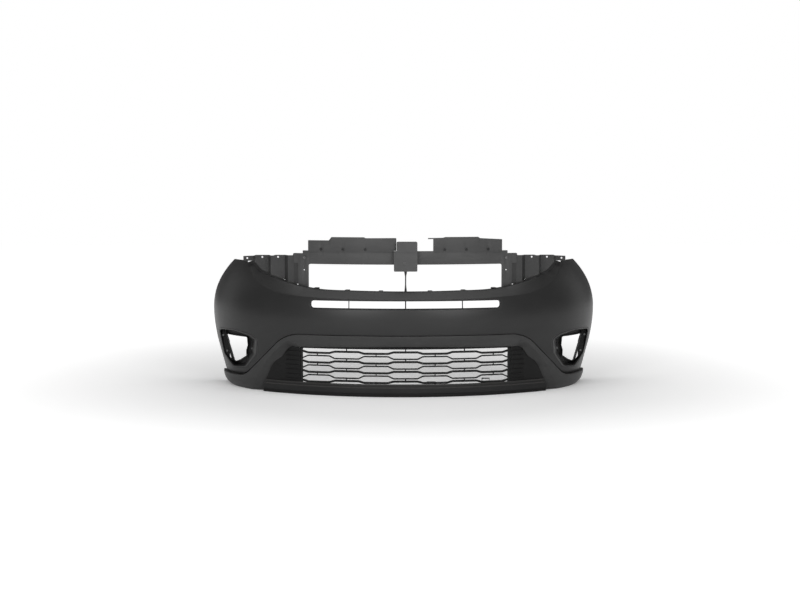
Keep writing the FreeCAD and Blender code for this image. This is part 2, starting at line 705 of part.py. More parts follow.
# ================================================================ valance and air dam
def revolved(profile, axis_y, half_x):
    """Profile of (radius, height) carried round a vertical axis, kept where it faces forward."""
    points = [V(0, axis_y - r, z) for r, z in profile]
    face = Part.Face(Part.makePolygon(points + [points[0]]))
    ring = face.revolve(V(0, axis_y, 0), V(0, 0, 1), 360)
    radius = profile[0][0] + 5
    front = Part.makeBox(2 * half_x, radius, 800, V(-half_x, axis_y - radius, -50))
    return ring.common(front)


def valance_axis_y():
    return FRONT_Y + VALANCE_INSET + VALANCE_R


def lower_valance():
    r, t = VALANCE_R, WALL
    groove = r - GROOVE_DEEP
    profile = [(r, DAM_HEIGHT), (r, VALANCE_FACE_Z), (groove, VALANCE_FACE_Z + 2), (groove, VALANCE_TOP_Z),
               (groove - t, VALANCE_TOP_Z), (groove - t, VALANCE_FACE_Z - 1), (r - t, VALANCE_FACE_Z - 3),
               (r - t, DAM_HEIGHT + t), (r - VALANCE_SHELF, DAM_HEIGHT + t), (r - VALANCE_SHELF, DAM_HEIGHT)]
    strip = revolved(profile, valance_axis_y(), VALANCE_HALF)
    return one_solid(strip.common(front_prism(mouth_outline(MOUTH_CLEAR))))


def air_dam_strip():
    r = VALANCE_R - DAM_BACK
    profile = [(r, 0.0), (r, DAM_HEIGHT), (r - DAM_THICK, DAM_HEIGHT), (r - DAM_THICK, 0.0)]
    return revolved(profile, valance_axis_y(), VALANCE_HALF - 4)


def valance_clips():
    """Bridges between the back of the valance's upper edge and the face of the grille rim."""
    back_r = VALANCE_R - GROOVE_DEEP - WALL
    parts = []
    for x in VALANCE_CLIP_X:
        for side in ((1,) if x == 0 else (1, -1)):
            centre = x * side
            box = Part.makeBox(18, 80, 9, V(centre - 9, valance_axis_y() - back_r, GRILLE_LOW_Z + 0.5))
            box.translate(V(0, sag(abs(centre), VALANCE_R) - 8, 0))
            box = box.common(Part.makeCylinder(back_r, 200, V(0, valance_axis_y(), 0)))
            box = box.cut(Part.makeCylinder(GRILLE_R, 200, V(0, grille_axis_y(), 0)))
            parts.append(sorted(box.Solids, key=lambda s: s.CenterOfMass.y)[0])
    return Part.makeCompound(parts)


# ================================================================ upper support
def frame_axis_y():
    return FRONT_Y + FRAME_INSET + FRAME_R


def frame_y(x, ahead=0.0):
    """Depth of the frame's front face at this distance from the centre."""
    return FRONT_Y + FRAME_INSET + sag(x, FRAME_R) - ahead


def strut_path(clear):
    """Room for the strut where it runs down through the shelf."""
    y = frame_y(0, STRUT_AHEAD)
    return rod(STRUT_R + clear, BLOCK_LOW_Z - SEAM_Z, V(0, y, SEAM_Z + WALL + FOOT_THICK), V(0, 0, 1))


def support_frame():
    axis_y = frame_axis_y()
    ear_z = BEAM_TOP_Z - BEAM_STEP
    outline = both_sides([(1.0, FRAME_LOW_Z), (FRAME_HALF, FRAME_LOW_Z, 12.0), (FRAME_HALF, EAR_LOW_Z, 3.0),
                          (EAR_HALF, EAR_LOW_Z, 4.0), (EAR_HALF, ear_z, 4.0), (BEAM_HALF, ear_z),
                          (BEAM_HALF, BEAM_TOP_Z, 2.0), (1.0, BEAM_TOP_Z)])
    window = [(-WINDOW_HALF, RAIL_TOP_Z, WINDOW_R), (WINDOW_HALF, RAIL_TOP_Z, WINDOW_R),
              (WINDOW_HALF, BEAM_LOW_Z, WINDOW_R), (-WINDOW_HALF, BEAM_LOW_Z, WINDOW_R)]
    middle_z = (RAIL_TOP_Z + BEAM_LOW_Z) / 2

    def grown(points, d):
        return [(x + math.copysign(d, x), z + math.copysign(d, z - middle_z)) + tuple(rest)
                for x, z, *rest in points]

    plate = front_prism(outline).cut(front_prism(window)).common(drum(FRAME_R, axis_y, WALL, 300, 800, 600))
    slab = drum(FRAME_R, axis_y, FRAME_DEEP, 300, 800, 600)
    rims = front_prism(grown(window, WALL)).cut(front_prism(window)).common(slab)
    top = front_prism([(-BEAM_HALF, BEAM_TOP_Z - WALL), (BEAM_HALF, BEAM_TOP_Z - WALL), (BEAM_HALF, BEAM_TOP_Z, 2.0),
                       (-BEAM_HALF, BEAM_TOP_Z, 2.0)]).common(slab)
    frame = plate.fuse([rims, top])
    lugs = []
    for x in CLIP_X:
        lug = front_prism([(x - LUG_W / 2, BEAM_TOP_Z - 6), (x + LUG_W / 2, BEAM_TOP_Z - 6),
                           (x + LUG_W / 2, LUG_TOP_Z, 6.0), (x - LUG_W / 2, LUG_TOP_Z, 6.0)])
        lugs.append(lug.common(drum(FRAME_R, axis_y, WALL, 600, 800, 600)))
    frame = frame.fuse(lugs)
    for x in CLIP_X:
        hole = rod(CLIP_HOLE_R, 40, V(0, axis_y - FRAME_R - 15, CLIP_Z))
        frame = frame.cut(turned(hole, axis_y, x, FRAME_R))
    for z in FRAME_SCREW_Z:
        for side in (1, -1):
            frame = frame.cut(rod(SCREW_R, 60, V(side * FRAME_SCREW_X, frame_y(FRAME_SCREW_X) - 30, z)))
    frame = frame.cut(rod(SCREW_R, 60, V(BLOCK_SCREW_X, frame_y(0) - 30, BLOCK_SCREW_Z)))
    return one_solid(frame)


def air_deflector(top):
    axis_y = frame_axis_y()
    r = FRAME_R + DEFLECTOR_T
    outline = [(top[0][0], DEFLECTOR_LOW_Z, 4.0), (top[-1][0], DEFLECTOR_LOW_Z, 4.0)]
    outline += [(x, z, 3.0) for x, z in reversed(top)]
    step_x = BLOCK_HALF + BLOCK_CLEAR
    beside_block = front_prism([(-step_x, DEFLECTOR_LOW_Z - 10), (step_x, DEFLECTOR_LOW_Z - 10),
                                (step_x, BLOCK_SPLIT_Z + BLOCK_CLEAR), (-step_x, BLOCK_SPLIT_Z + BLOCK_CLEAR)])
    plate = front_prism(outline).cut(beside_block)
    if top[0][0] > 0:
        prong = [(top[0][0] - PRONG, top[0][1] - PRONG_H), (top[0][0] + 4, top[0][1] - PRONG_H),
                 (top[0][0] + 4, top[0][1]), (top[0][0] - PRONG, top[0][1])]
        plate = plate.fuse(front_prism(prong))
    plate = plate.common(drum(r, axis_y, DEFLECTOR_T, 600, 760, 500))
    for x in CLIP_X:
        hole = rod(CLIP_HOLE_R, 40, V(0, axis_y - r - 15, CLIP_Z))
        plate = plate.cut(turned(hole, axis_y, x, FRAME_R))
    return one_solid(plate)


def clip_body(x):
    """Push-in retainer: head in front of the deflector, shank through deflector and lug, barbs behind."""
    axis_y = frame_axis_y()
    face = axis_y - FRAME_R - DEFLECTOR_T
    head = rod(CLIP_HEAD_R, CLIP_HEAD_T, V(0, face - CLIP_HEAD_T, CLIP_Z))
    shank = rod(CLIP_SHANK_R, CLIP_LENGTH, V(0, face - 1, CLIP_Z))
    barb = Part.makeCone(CLIP_SHANK_R + 1.4, CLIP_SHANK_R - 0.6, 6.0,
                         V(0, face + DEFLECTOR_T + WALL + 0.3, CLIP_Z), V(0, 1, 0))
    body = head.fuse([shank, barb])
    body = body.cut(rod(PIN_BORE_R, 60, V(0, face - 20, CLIP_Z)))
    body = body.cut(rod(PIN_POCKET_R, PIN_HEAD_T, V(0, face - CLIP_HEAD_T, CLIP_Z)))
    return turned(one_solid(body), axis_y, x, FRAME_R)


def clip_pin(x):
    axis_y = frame_axis_y()
    face = axis_y - FRAME_R - DEFLECTOR_T
    floor = face - CLIP_HEAD_T + PIN_HEAD_T
    head = rod(PIN_HEAD_R, PIN_HEAD_T, V(0, floor - PIN_HEAD_T, CLIP_Z))
    stem = rod(PIN_R, CLIP_LENGTH - 1, V(0, floor - 0.5, CLIP_Z))
    tip = Part.makeCone(PIN_R, PIN_R * 0.5, 2.0, V(0, floor - 0.5 + CLIP_LENGTH - 1, CLIP_Z), V(0, 1, 0))
    return turned(one_solid(head.fuse([stem, tip])), axis_y, x, FRAME_R)


def centre_block():
    back = frame_y(0)
    front = back - BLOCK_DEEP
    left = -BLOCK_HALF + BLOCK_STEP
    outline = [(-BLOCK_HALF, BLOCK_LOW_Z, 5.0), (BLOCK_HALF, BLOCK_LOW_Z, 5.0), (BLOCK_HALF, BLOCK_TOP_Z, 6.0),
               (left, BLOCK_TOP_Z, 6.0), (left, BLOCK_SPLIT_Z), (-BLOCK_HALF, BLOCK_SPLIT_Z, 3.0)]
    w = BLOCK_WALL
    inner = [(-BLOCK_HALF + w, BLOCK_LOW_Z + w, 3.0), (BLOCK_HALF - w, BLOCK_LOW_Z + w, 3.0),
             (BLOCK_HALF - w, BLOCK_TOP_Z - w, 4.0), (left + w, BLOCK_TOP_Z - w, 4.0),
             (left + w, BLOCK_SPLIT_Z - w), (-BLOCK_HALF + w, BLOCK_SPLIT_Z - w, 2.0)]
    block = front_prism(outline, front, back + 20).cut(front_prism(inner, front + BLOCK_WALL, back + 30))
    groove = Part.makeBox(2 * BLOCK_HALF + 10, 1.5, 3.0, V(-BLOCK_HALF - 5, front, BLOCK_SPLIT_Z - 8.0))
    block = block.cut(groove).cut(Part.makeCylinder(FRAME_R, 400, V(0, frame_axis_y(), 400)))
    pillar = rod(BLOCK_PILLAR_R, BLOCK_DEEP, V(BLOCK_SCREW_X, front + 1, BLOCK_SCREW_Z))
    pillar = pillar.cut(Part.makeCylinder(FRAME_R, 400, V(0, frame_axis_y(), 400)))
    block = block.fuse(pillar).cut(rod(SCREW_R, 60, V(BLOCK_SCREW_X, front - 5, BLOCK_SCREW_Z)))
    return one_solid(block)


def centre_block_screw():
    front = frame_y(0) - BLOCK_DEEP
    z = BLOCK_SCREW_Z
    head = rod(SCREW_HEAD_R, SCREW_HEAD_T, V(BLOCK_SCREW_X, front - SCREW_HEAD_T, z))
    stem = rod(SCREW_R, BLOCK_DEEP + WALL + 6, V(BLOCK_SCREW_X, front - 1, z))
    drive = Part.makeBox(SCREW_HEAD_R * 1.2, 1.2, 1.4, V(BLOCK_SCREW_X - SCREW_HEAD_R * 0.6,
                                                       front - SCREW_HEAD_T, z - 0.7))
    return one_solid(head.fuse(stem).cut(drive))


def centre_strut():
    """Round bar under the block, flared at the top, its foot on the lip above the seam."""
    y = frame_y(0, STRUT_AHEAD)
    foot_z = SEAM_Z + WALL
    bar = rod(STRUT_R, BLOCK_LOW_Z - foot_z, V(0, y, foot_z), V(0, 0, 1))
    shelf_z = CREASE_Z + LEDGE_LINE[0][2]
    collar = Part.makeCone(STRUT_COLLAR_R, STRUT_R, STRUT_COLLAR, V(0, y, shelf_z + 1.0), V(0, 0, 1))
    flare = Part.makeCone(STRUT_R, STRUT_FLARE_R, STRUT_FLARE, V(0, y, BLOCK_LOW_Z - STRUT_FLARE), V(0, 0, 1))
    front = FRONT_Y + nose_inset(SEAM_Z) + WALL + 2
    foot = Part.makeBox(2 * FOOT_HALF, y + 10 - front, FOOT_THICK, V(-FOOT_HALF, front, foot_z))
    return one_solid(bar.fuse([flare, collar, foot]))


def slot_insert():
    """Lining of the intake slot, with its two upright ribs."""
    g = INSERT_CLEAR
    ring = front_prism(slot_outline(-g)).cut(front_prism(slot_outline(-g - INSERT_WALL)))
    parts = [ring]
    for x in (-INSERT_RIB_X, INSERT_RIB_X):
        parts.append(front_prism([(x - 2, SLOT_LOW_Z + 1), (x + 2, SLOT_LOW_Z + 1), (x + 2, SLOT_HIGH_Z - 1),
                                  (x - 2, SLOT_HIGH_Z - 1)]))
    slab = skin_slab(INSERT_SET, SLOT_FLANGE, 360.0, 460.0)
    return one_solid(parts[0].fuse(parts[1:]).common(slab))


# ================================================================ headlamp brackets
def bracket_foot():
    """Everything above the ledge's shelf, and beyond its end above the skin's flat top."""
    edge = shelf_back_edge()
    above = above_line([(x, z + BRACKET_CLEAR) for x, z in edge])
    end_x = edge[-1][0]
    beside = Part.makeBox(WIDTH / 2 - end_x + 1.0, 1000, 300, V(end_x - 1.0, -500, SKIN_TOP_Z + BRACKET_CLEAR))
    return above.fuse(beside)


def headlamp_bracket():
    """Right-hand stepped wall behind the headlamp opening; it starts behind the frame's post."""
    rear_r = FRAME_R - WALL - BRACKET_BEHIND
    path = []
    for i in range(3):
        x = BRACKET_START_X + (EAR_HALF - BRACKET_START_X) * i / 2.0
        path.append((x, frame_axis_y() - math.sqrt(rear_r ** 2 - x ** 2)))
    path.append((BRACKET_BEND_X, path[-1][1]))
    path += list(BRACKET_STEPS)
    back = [(x - 0.5, y + BRACKET_WALL) for x, y in reversed(path)]
    deep = [(x - 0.5, y + BRACKET_LEDGE) for x, y in reversed(path)]
    outline = [(BRACKET_TOP[0][0], 400.0), (BRACKET_TOP[-1][0], 400.0)] + list(reversed(BRACKET_TOP))
    capped = [(x, z - BRACKET_WALL if z > 500 else z) for x, z in outline]
    region = front_prism(outline)
    flange = plan_prism(path + deep, 440.0, 700.0).common(region.cut(front_prism(capped)))
    bracket = plan_prism(path + back, 440.0, 700.0).common(region).fuse(flange)
    ribs = []
    for x, y in path[3:-1]:
        ribs.append(Part.makeBox(RIB_THICK, RIB_DEEP, 300, V(x - RIB_THICK - 1, y + 0.5, 400)))
    bracket = bracket.fuse([rib.common(region) for rib in ribs]).common(bracket_foot())
    for x, y in BRACKET_HOLES:
        z = [p[1] for p in BRACKET_TOP if p[0] >= x][0] - BRACKET_HOLE_DROP
        bracket = bracket.cut(rod(BRACKET_HOLE_R, 60, V(x, y - 30, z)))
    for z, radius in zip(FRAME_SCREW_Z, (SCREW_R, SCREW_FREE_R)):
        bracket = bracket.cut(rod(radius, 60, V(FRAME_SCREW_X, frame_y(FRAME_SCREW_X) - 30, z)))
    return one_solid(bracket)


def bracket_screws():
    parts = []
    x, z = FRAME_SCREW_X, FRAME_SCREW_Z[0]
    for side in (1, -1):
        y = frame_y(x)
        head = rod(SCREW_HEAD_R, SCREW_HEAD_T, V(side * x, y - SCREW_HEAD_T - 2.0, z))
        stem = rod(SCREW_R, 24, V(side * x, y - 3, z))
        parts.append(one_solid(head.fuse(stem)))
    return Part.makeCompound(parts)


# ================================================================ fog lamp brackets
def fog_lamp_bracket():
    """Right-hand plate behind the pocket: fog lamp opening, lip and three bosses."""
    slab = skin_slab(POCKET_DEEP, POCKET_DEEP + FOG_WALL, 60.0, 320.0)
    plate = front_prism(pocket_outline(WALL + 4.0)).common(slab)
    bigger = []
    for x, z, r in FOG_HOLE:
        bigger.append((x + math.copysign(FOG_WALL, x - 775.0), z + math.copysign(FOG_WALL, z - 180.0), r + 2))
    lip = front_prism(bigger).common(skin_slab(POCKET_DEEP - FOG_LIP, POCKET_DEEP + FOG_WALL - 0.5, 60, 320))
    bosses = []
    for x, z, y in fog_screw_places():
        bosses.append(rod(FOG_BOSS_R, FOG_BOSS_H + FOG_WALL, V(x, y, z)))
    end_x = POCKET[0][0] - 0.5
    side = plan_prism([(FOG_SIDE_X, FOG_SIDE_Y), (end_x, FOG_SIDE_Y),
                       (end_x, FOG_SIDE_Y + FOG_WALL), (FOG_SIDE_X, FOG_SIDE_Y + FOG_WALL)], 60.0, 320.0)
    side = side.common(front_prism(pocket_outline(-0.5))).cut(skin_slab(-5.0, WALL + 0.5, 60.0, 320.0))
    plate = plate.fuse([lip, side] + bosses).cut(front_prism(list(FOG_HOLE)))
    for x, z, y in fog_screw_places():
        plate = plate.cut(rod(FOG_SCREW_R, FOG_BOSS_H + 20.0, V(x, y - 1.0, z)))
    return one_solid(plate.common(rear_prism()))


def fog_screw_places():
    """Seat of each screw: two on the outboard web, one on the plate."""
    x, z = FOG_SCREW_INNER
    places = [(x, z, skin_y(x, z, POCKET_DEEP) - FOG_BOSS_H)]
    for x, z in FOG_SCREW_OUTER:
        places.append((x, z, FOG_SIDE_Y - FOG_BOSS_H))
    return places


def skin_y(x, z, inset=0.0):
    a = half_width(z) - inset
    return skin_point(math.asin(min(abs(x) / a, 1.0)), z, inset, half_width, nose_inset).y


def fog_bracket_screws():
    parts = []
    for x, z, y in fog_screw_places():
        head = rod(FOG_BOSS_R - 1.5, SCREW_HEAD_T, V(x, y - SCREW_HEAD_T, z))
        parts.append(one_solid(head.fuse(rod(FOG_SCREW_R, FOG_BOSS_H + FOG_WALL + 3.0, V(x, y - 1, z)))))
    return Part.makeCompound(parts)


# ================================================================ fender brackets and clips
def fender_line(t, back=0.0):
    """Point (y, z) along the fender seam, t from its lower end, this far in front of it."""
    run = V(0, FENDER_TOP_Y - REAR_Y, SKIN_TOP_Z - FENDER_LOW_Z)
    length = run.Length
    run.normalize()
    ahead = V(0, -run.z, run.y)
    p = V(0, REAR_Y, FENDER_LOW_Z) + run * (t * length) + ahead * back
    return p.y, p.z


def fender_bracket():
    """Right-hand slide rail that the skin's rear edge hooks on."""
    front = FENDER_BACK + FENDER_W
    corners = [fender_line(0.06, FENDER_BACK), fender_line(0.06, front), fender_line(0.94, front),
               fender_line(0.94, FENDER_BACK)]
    inside = WALL + FENDER_INSET
    strip = side_prism([(y, z, 5.0) for y, z in corners]).common(skin_slab(inside, inside + WALL, 300, 590))
    strip = strip.common(Part.makeBox(WIDTH, 1200, 1000, V(0, -600, 0)))
    length = math.hypot(REAR_Y - FENDER_TOP_Y, SKIN_TOP_Z - FENDER_LOW_Z)
    start = (1 - (FENDER_HOLES - 1) * FENDER_PITCH / length) / 2
    for i in range(FENDER_HOLES):
        y, z = fender_line(start + i * FENDER_PITCH / length, FENDER_BACK + FENDER_W / 2)
        strip = strip.cut(rod(FENDER_HOLE_R, 900, V(100, y, z), V(1, 0, 0)))
    return one_solid(strip)


def trim_clips():
    """Clips behind the seam, gripping the skin's lip and the trim's lip together."""
    parts = []
    half = SEAM_CLIP_W / 2
    for x in SEAM_CLIP_X:
        for side in (1, -1):
            back = skin_y(x + half, SEAM_Z, LIP) + CLIP_GAP + 0.5
            top = SEAM_Z + WALL + CLIP_GAP
            low = SEAM_Z - SEAM_GAP - WALL - CLIP_GAP
            start = side * x - half
            web = Part.makeBox(SEAM_CLIP_W, CLIP_SHEET, top - low + 2 * CLIP_SHEET,
                               V(start, back, low - CLIP_SHEET))
            arms = [Part.makeBox(SEAM_CLIP_W, CLIP_ARM, CLIP_SHEET, V(start, back - CLIP_ARM + 1.0, z))
                    for z in (top, low - CLIP_SHEET)]
            parts.append(one_solid(web.fuse(arms)))
    return Part.makeCompound(parts)


def ledge_clips():
    """Spring clips round the shelf's rear edge and the flange of the frame's rail under it."""
    parts = []
    half = LEDGE_CLIP_W / 2
    for x in LEDGE_CLIP_X:
        top = shelf_height(x + half) + CLIP_GAP
        low = RAIL_TOP_Z - WALL - CLIP_GAP
        back = frame_y(0) + FRAME_DEEP + CLIP_GAP
        under = low - CLIP_SHEET
        web = Part.makeBox(LEDGE_CLIP_W, CLIP_SHEET, top - low + 2 * CLIP_SHEET, V(-half, back, under))
        arm = Part.makeBox(LEDGE_CLIP_W, 2 * FRAME_DEEP, CLIP_SHEET, V(-half, back - 2 * FRAME_DEEP + 1.0, top))
        hook = Part.makeBox(LEDGE_CLIP_W, CLIP_ARM, CLIP_SHEET, V(-half, back - CLIP_ARM + 1.0, under))
        clip = one_solid(web.fuse([arm, hook]))
        for side in (1, -1):
            parts.append(turned(clip, frame_axis_y(), side * x, FRAME_R))
    return Part.makeCompound(parts)


def sensor_brackets():
    """Two small holders on the lower right of the grille."""
    parts = []
    for x, half, high in zip(SENSOR_X, SENSOR_HALF, SENSOR_HIGH):
        y = FRONT_Y + GRILLE_INSET + sag(x, GRILLE_R)
        box = Part.makeBox(2 * half, SENSOR_DEEP, high, V(x - half, y - 2.0, GRILLE_LOW_Z + 8.0))
        inner = Part.makeBox(2 * (half - WALL), SENSOR_DEEP, high - WALL,
                             V(x - half + WALL, y + 5.0, GRILLE_LOW_Z + 6.0))
        behind = drum(GRILLE_R + 12, grille_axis_y(), GRILLE_DEEP + 12, 0, 300, 480)
        parts.append(one_solid(box.cut(inner).cut(behind)))
    return Part.makeCompound(parts)


# ================================================================ write every node
def main():
    fascia = main_fascia()
    save("main_fascia", fascia)
    save("lower_trim", lower_trim())
    save("lower_grille", lower_grille())
    panel = grille_side_panel()
    save("grille_side_panel_right", panel)
    save("grille_side_panel_left", mirrored(panel))
    save("lower_valance", lower_valance())
    save("air_dam_strip", air_dam_strip())
    save("valance_clips", valance_clips())
    save("support_frame", support_frame())
    save("air_deflector_left", air_deflector(DEFLECTOR_TOP))
    save("air_deflector_right", air_deflector(DEFLECTOR_TOP_RIGHT))
    save("deflector_clips", Part.makeCompound([clip_body(x) for x in CLIP_X]))
    for number, x in enumerate(CLIP_X):
        save("clip_pin_%d" % (number + 1), clip_pin(x))
    save("centre_block", centre_block())
    save("centre_block_screw", centre_block_screw())
    save("centre_strut", centre_strut())
    save("slot_insert", slot_insert())
    bracket = headlamp_bracket()
    save("headlamp_bracket_right", bracket)
    save("headlamp_bracket_left", mirrored(bracket))
    save("bracket_screws", bracket_screws())
    fog = fog_lamp_bracket()
    save("fog_lamp_bracket_right", fog)
    save("fog_lamp_bracket_left", mirrored(fog))
    screws = fog_bracket_screws()
    save("fog_bracket_screws_right", screws)
    save("fog_bracket_screws_left", mirrored(screws))
    rail = fender_bracket()
    save("fender_bracket_right", rail)
    save("fender_bracket_left", mirrored(rail))
    save("trim_clips", trim_clips())
    save("ledge_clips", ledge_clips())
    save("sensor_brackets", sensor_brackets())


main()
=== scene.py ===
# %% [markdown]
# # Front bumper cover
# This lesson dresses a finished CAD model of a car's front bumper cover. The CAD gives every part its place
# and its size; here the large mouldings are drawn again as smooth surfaces, and every part gets its own
# plastic, rubber or steel. The first step loads the CAD model, which nothing below moves or changes.

# %% Load the model
import bpy
import bmesh
import json
import math
import numpy as np
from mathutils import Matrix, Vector

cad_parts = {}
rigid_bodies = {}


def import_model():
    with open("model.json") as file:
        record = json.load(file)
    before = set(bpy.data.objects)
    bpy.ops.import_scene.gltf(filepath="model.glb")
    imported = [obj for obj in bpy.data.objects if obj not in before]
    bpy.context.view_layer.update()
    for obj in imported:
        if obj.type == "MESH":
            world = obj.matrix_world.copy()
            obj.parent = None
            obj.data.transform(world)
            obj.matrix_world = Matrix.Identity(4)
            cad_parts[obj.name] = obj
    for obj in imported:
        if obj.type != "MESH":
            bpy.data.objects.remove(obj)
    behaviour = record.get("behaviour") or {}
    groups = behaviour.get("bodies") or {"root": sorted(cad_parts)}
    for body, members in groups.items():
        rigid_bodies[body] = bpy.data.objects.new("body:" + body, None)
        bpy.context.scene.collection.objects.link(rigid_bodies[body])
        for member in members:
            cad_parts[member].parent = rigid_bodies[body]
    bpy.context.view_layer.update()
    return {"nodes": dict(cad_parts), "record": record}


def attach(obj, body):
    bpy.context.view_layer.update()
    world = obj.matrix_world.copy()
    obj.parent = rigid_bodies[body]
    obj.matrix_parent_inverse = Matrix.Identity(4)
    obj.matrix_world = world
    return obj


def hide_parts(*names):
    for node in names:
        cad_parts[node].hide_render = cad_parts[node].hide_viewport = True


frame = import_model()
nodes = frame["nodes"]

# %% [markdown]
# ## The form of the skin
# The painted skin is one big double-curved shell. Seen from above it is half of an ellipse; seen from the
# side it bulges to a waist, and its nose leans back above and below a most forward line. Two small formulas
# for the half width and the lean of the nose are enough to give any point on it, so every moulding below is
# cut from this form.

# %% The skin as a function of two parameters
DEPTH = 0.560
FRONT = -DEPTH / 2
HALF = 0.910
WAIST, SIDE_UP, SIDE_DOWN, STRAIGHT = 0.365, 0.277, 0.650, 0.195
NOSE, NOSE_UP, NOSE_DOWN = 0.338, 0.260, 0.600
WALL = 0.003


def half_width(z):
    """Half the skin's width at height z: a parabola that falls away from the waist, more sharply upwards,
    and its tangent below the height where the side becomes straight."""
    bent = np.maximum(z, STRAIGHT)
    d = bent - WAIST
    straight = (bent - z) * (WAIST - STRAIGHT) / SIDE_DOWN
    return HALF - d * d / (2 * np.where(d > 0, SIDE_UP, SIDE_DOWN)) - straight


def nose_inset(z):
    """How far the nose at height z lies behind its most forward line: again a parabola each way."""
    d = z - NOSE
    return d * d / (2 * np.where(d > 0, NOSE_UP, NOSE_DOWN))


def skin(angle, z, inset=0.0, widths=half_width, noses=nose_inset):
    """Point of the skin at an angle round from the nose and a height: x is the half width times the angle's
    sine, y starts at the nose and runs back by the rest of the depth times one less its cosine. An inset
    moves both in."""
    a = widths(z) - inset
    n = noses(z) + inset
    y = FRONT + n + (DEPTH - n) * (1 - np.cos(angle))
    return np.stack(np.broadcast_arrays(a * np.sin(angle), y, z), -1)


def angle_at(x, z, inset=0.0, widths=half_width):
    """The angle at which the skin is x away from the middle."""
    return np.arcsin(np.clip(x / (widths(z) - inset), -1, 1))


print("widest", 2 * HALF, "at the top", round(float(2 * half_width(0.591)), 3))

# %% [markdown]
# ## Lines that the mouldings are cut along
# The seams and openings are drawn in the front view as a few corners, each with its own rounding, exactly
# as a stylist draws them. One helper turns such corners into a close row of points, another spaces points
# evenly, and a third draws a smooth curve through a short table, for the ledge that climbs towards the
# sides.

# %% Rounded outlines
def rounded(corners, closed=True, steps=10):
    """Points along straight runs joined by arcs: each arc touches both runs, its centre on their bisector.
    """
    pts = np.array([c[:2] for c in corners], float)
    radii = [c[2] if len(c) > 2 else 0.0 for c in corners]
    out = []
    for i, p in enumerate(pts):
        ends = i in (0, len(pts) - 1) and not closed
        if radii[i] <= 0 or ends:
            out.append(p[None])
            continue
        u = pts[i - 1] - p
        v = pts[(i + 1) % len(pts)] - p
        u /= np.linalg.norm(u)
        v /= np.linalg.norm(v)
        half = math.acos(float(np.clip(u @ v, -1, 1))) / 2
        middle = (u + v) / np.linalg.norm(u + v)
        centre = p + middle * radii[i] / math.sin(half)
        a, b = p + u * radii[i] / math.tan(half) - centre, p + v * radii[i] / math.tan(half) - centre
        t = np.linspace(0, 1, steps)[:, None]
        sweep = math.acos(float(np.clip(a @ b / radii[i] ** 2, -1, 1)))
        out.append(centre + (np.sin((1 - t) * sweep) * a + np.sin(t * sweep) * b) / math.sin(sweep))
    return np.concatenate(out)


def resample(points, count, closed=False):
    """The same line with its points equally far apart."""
    p = np.concatenate([points, points[:1]]) if closed else points
    run = np.concatenate([[0], np.cumsum(np.linalg.norm(np.diff(p, axis=0), axis=1))])
    s = np.linspace(0, run[-1], count + 1 if closed else count)
    q = np.stack([np.interp(s, run, p[:, k]) for k in range(p.shape[1])], -1)
    return q[:-1] if closed else q


def hermite(table, x):
    """Smooth curve through a table's points, level with its neighbours' slope at each: cubic between them.
    """
    t = np.array(table)
    t = np.concatenate([t[:0:-1] * np.array([-1] + [1] * (t.shape[1] - 1)), t])
    low = np.clip(np.arange(len(t)) - 1, 0, None)
    high = np.clip(np.arange(len(t)) + 1, None, len(t) - 1)
    slope = (t[high, 1:] - t[low, 1:]) / (t[high, :1] - t[low, :1])
    x = np.clip(np.abs(x), 0, t[-1, 0])
    k = np.clip(np.searchsorted(t[:, 0], x, side="right") - 1, 0, len(t) - 2)
    span = t[k + 1, 0] - t[k, 0]
    s = ((x - t[k, 0]) / span)[..., None]
    a, b = t[k, 1:], t[k + 1, 1:]
    return (a * (2 * s**3 - 3 * s**2 + 1) + b * (3 * s**2 - 2 * s**3)
            + span[..., None] * (slope[k] * (s**3 - 2 * s**2 + s) + slope[k + 1] * (s**3 - s**2)))


CREASE_Z = 0.434
LEDGE = [(0, 0, .034), (.250, .0025, .037), (.424, .009, .043), (.560, .021, .069), (.640, .048, .094),
         (.700, .092, .118), (.726, .150, .155)]
SEAM = rounded([(-1, .275), (.541, .275, .150), (.745, .061, .080), (1.2, .061)], closed=False, steps=40)
SLOT_HALF = 0.423
SKIN_TOP = 0.591


def seam_z(x):
    return np.interp(np.abs(x), SEAM[:, 0], SEAM[:, 1])


def crease_z(x):
    return CREASE_Z + hermite(LEDGE, x)[..., 0]


def ledge_z(x):
    return CREASE_Z + hermite(LEDGE, x)[..., 1]


print("seam at the middle and the arch:", float(seam_z(0)), float(seam_z(.8)))

# %% [markdown]
# ## From grids to meshes
# A surface worked out on a grid becomes a mesh when each little square of the grid becomes a face. Separate
# grids that share an edge are joined by merging the points that lie on each other. Everything is done on
# whole arrays; only the finished lists go to Blender.

# %% Mesh helpers
def grid_faces(rows, cols, start=0, wrap=False, flip=False):
    """Faces of a grid whose points are numbered row by row; wrap joins its last column to its first."""
    i, j = np.meshgrid(np.arange(rows - 1), np.arange(cols if wrap else cols - 1), indexing="ij")
    k = (j + 1) % cols
    f = np.stack([i * cols + j, i * cols + k, (i + 1) * cols + k, (i + 1) * cols + j], -1)
    f = f.reshape(-1, 4) + start
    return f[:, ::-1] if flip else f


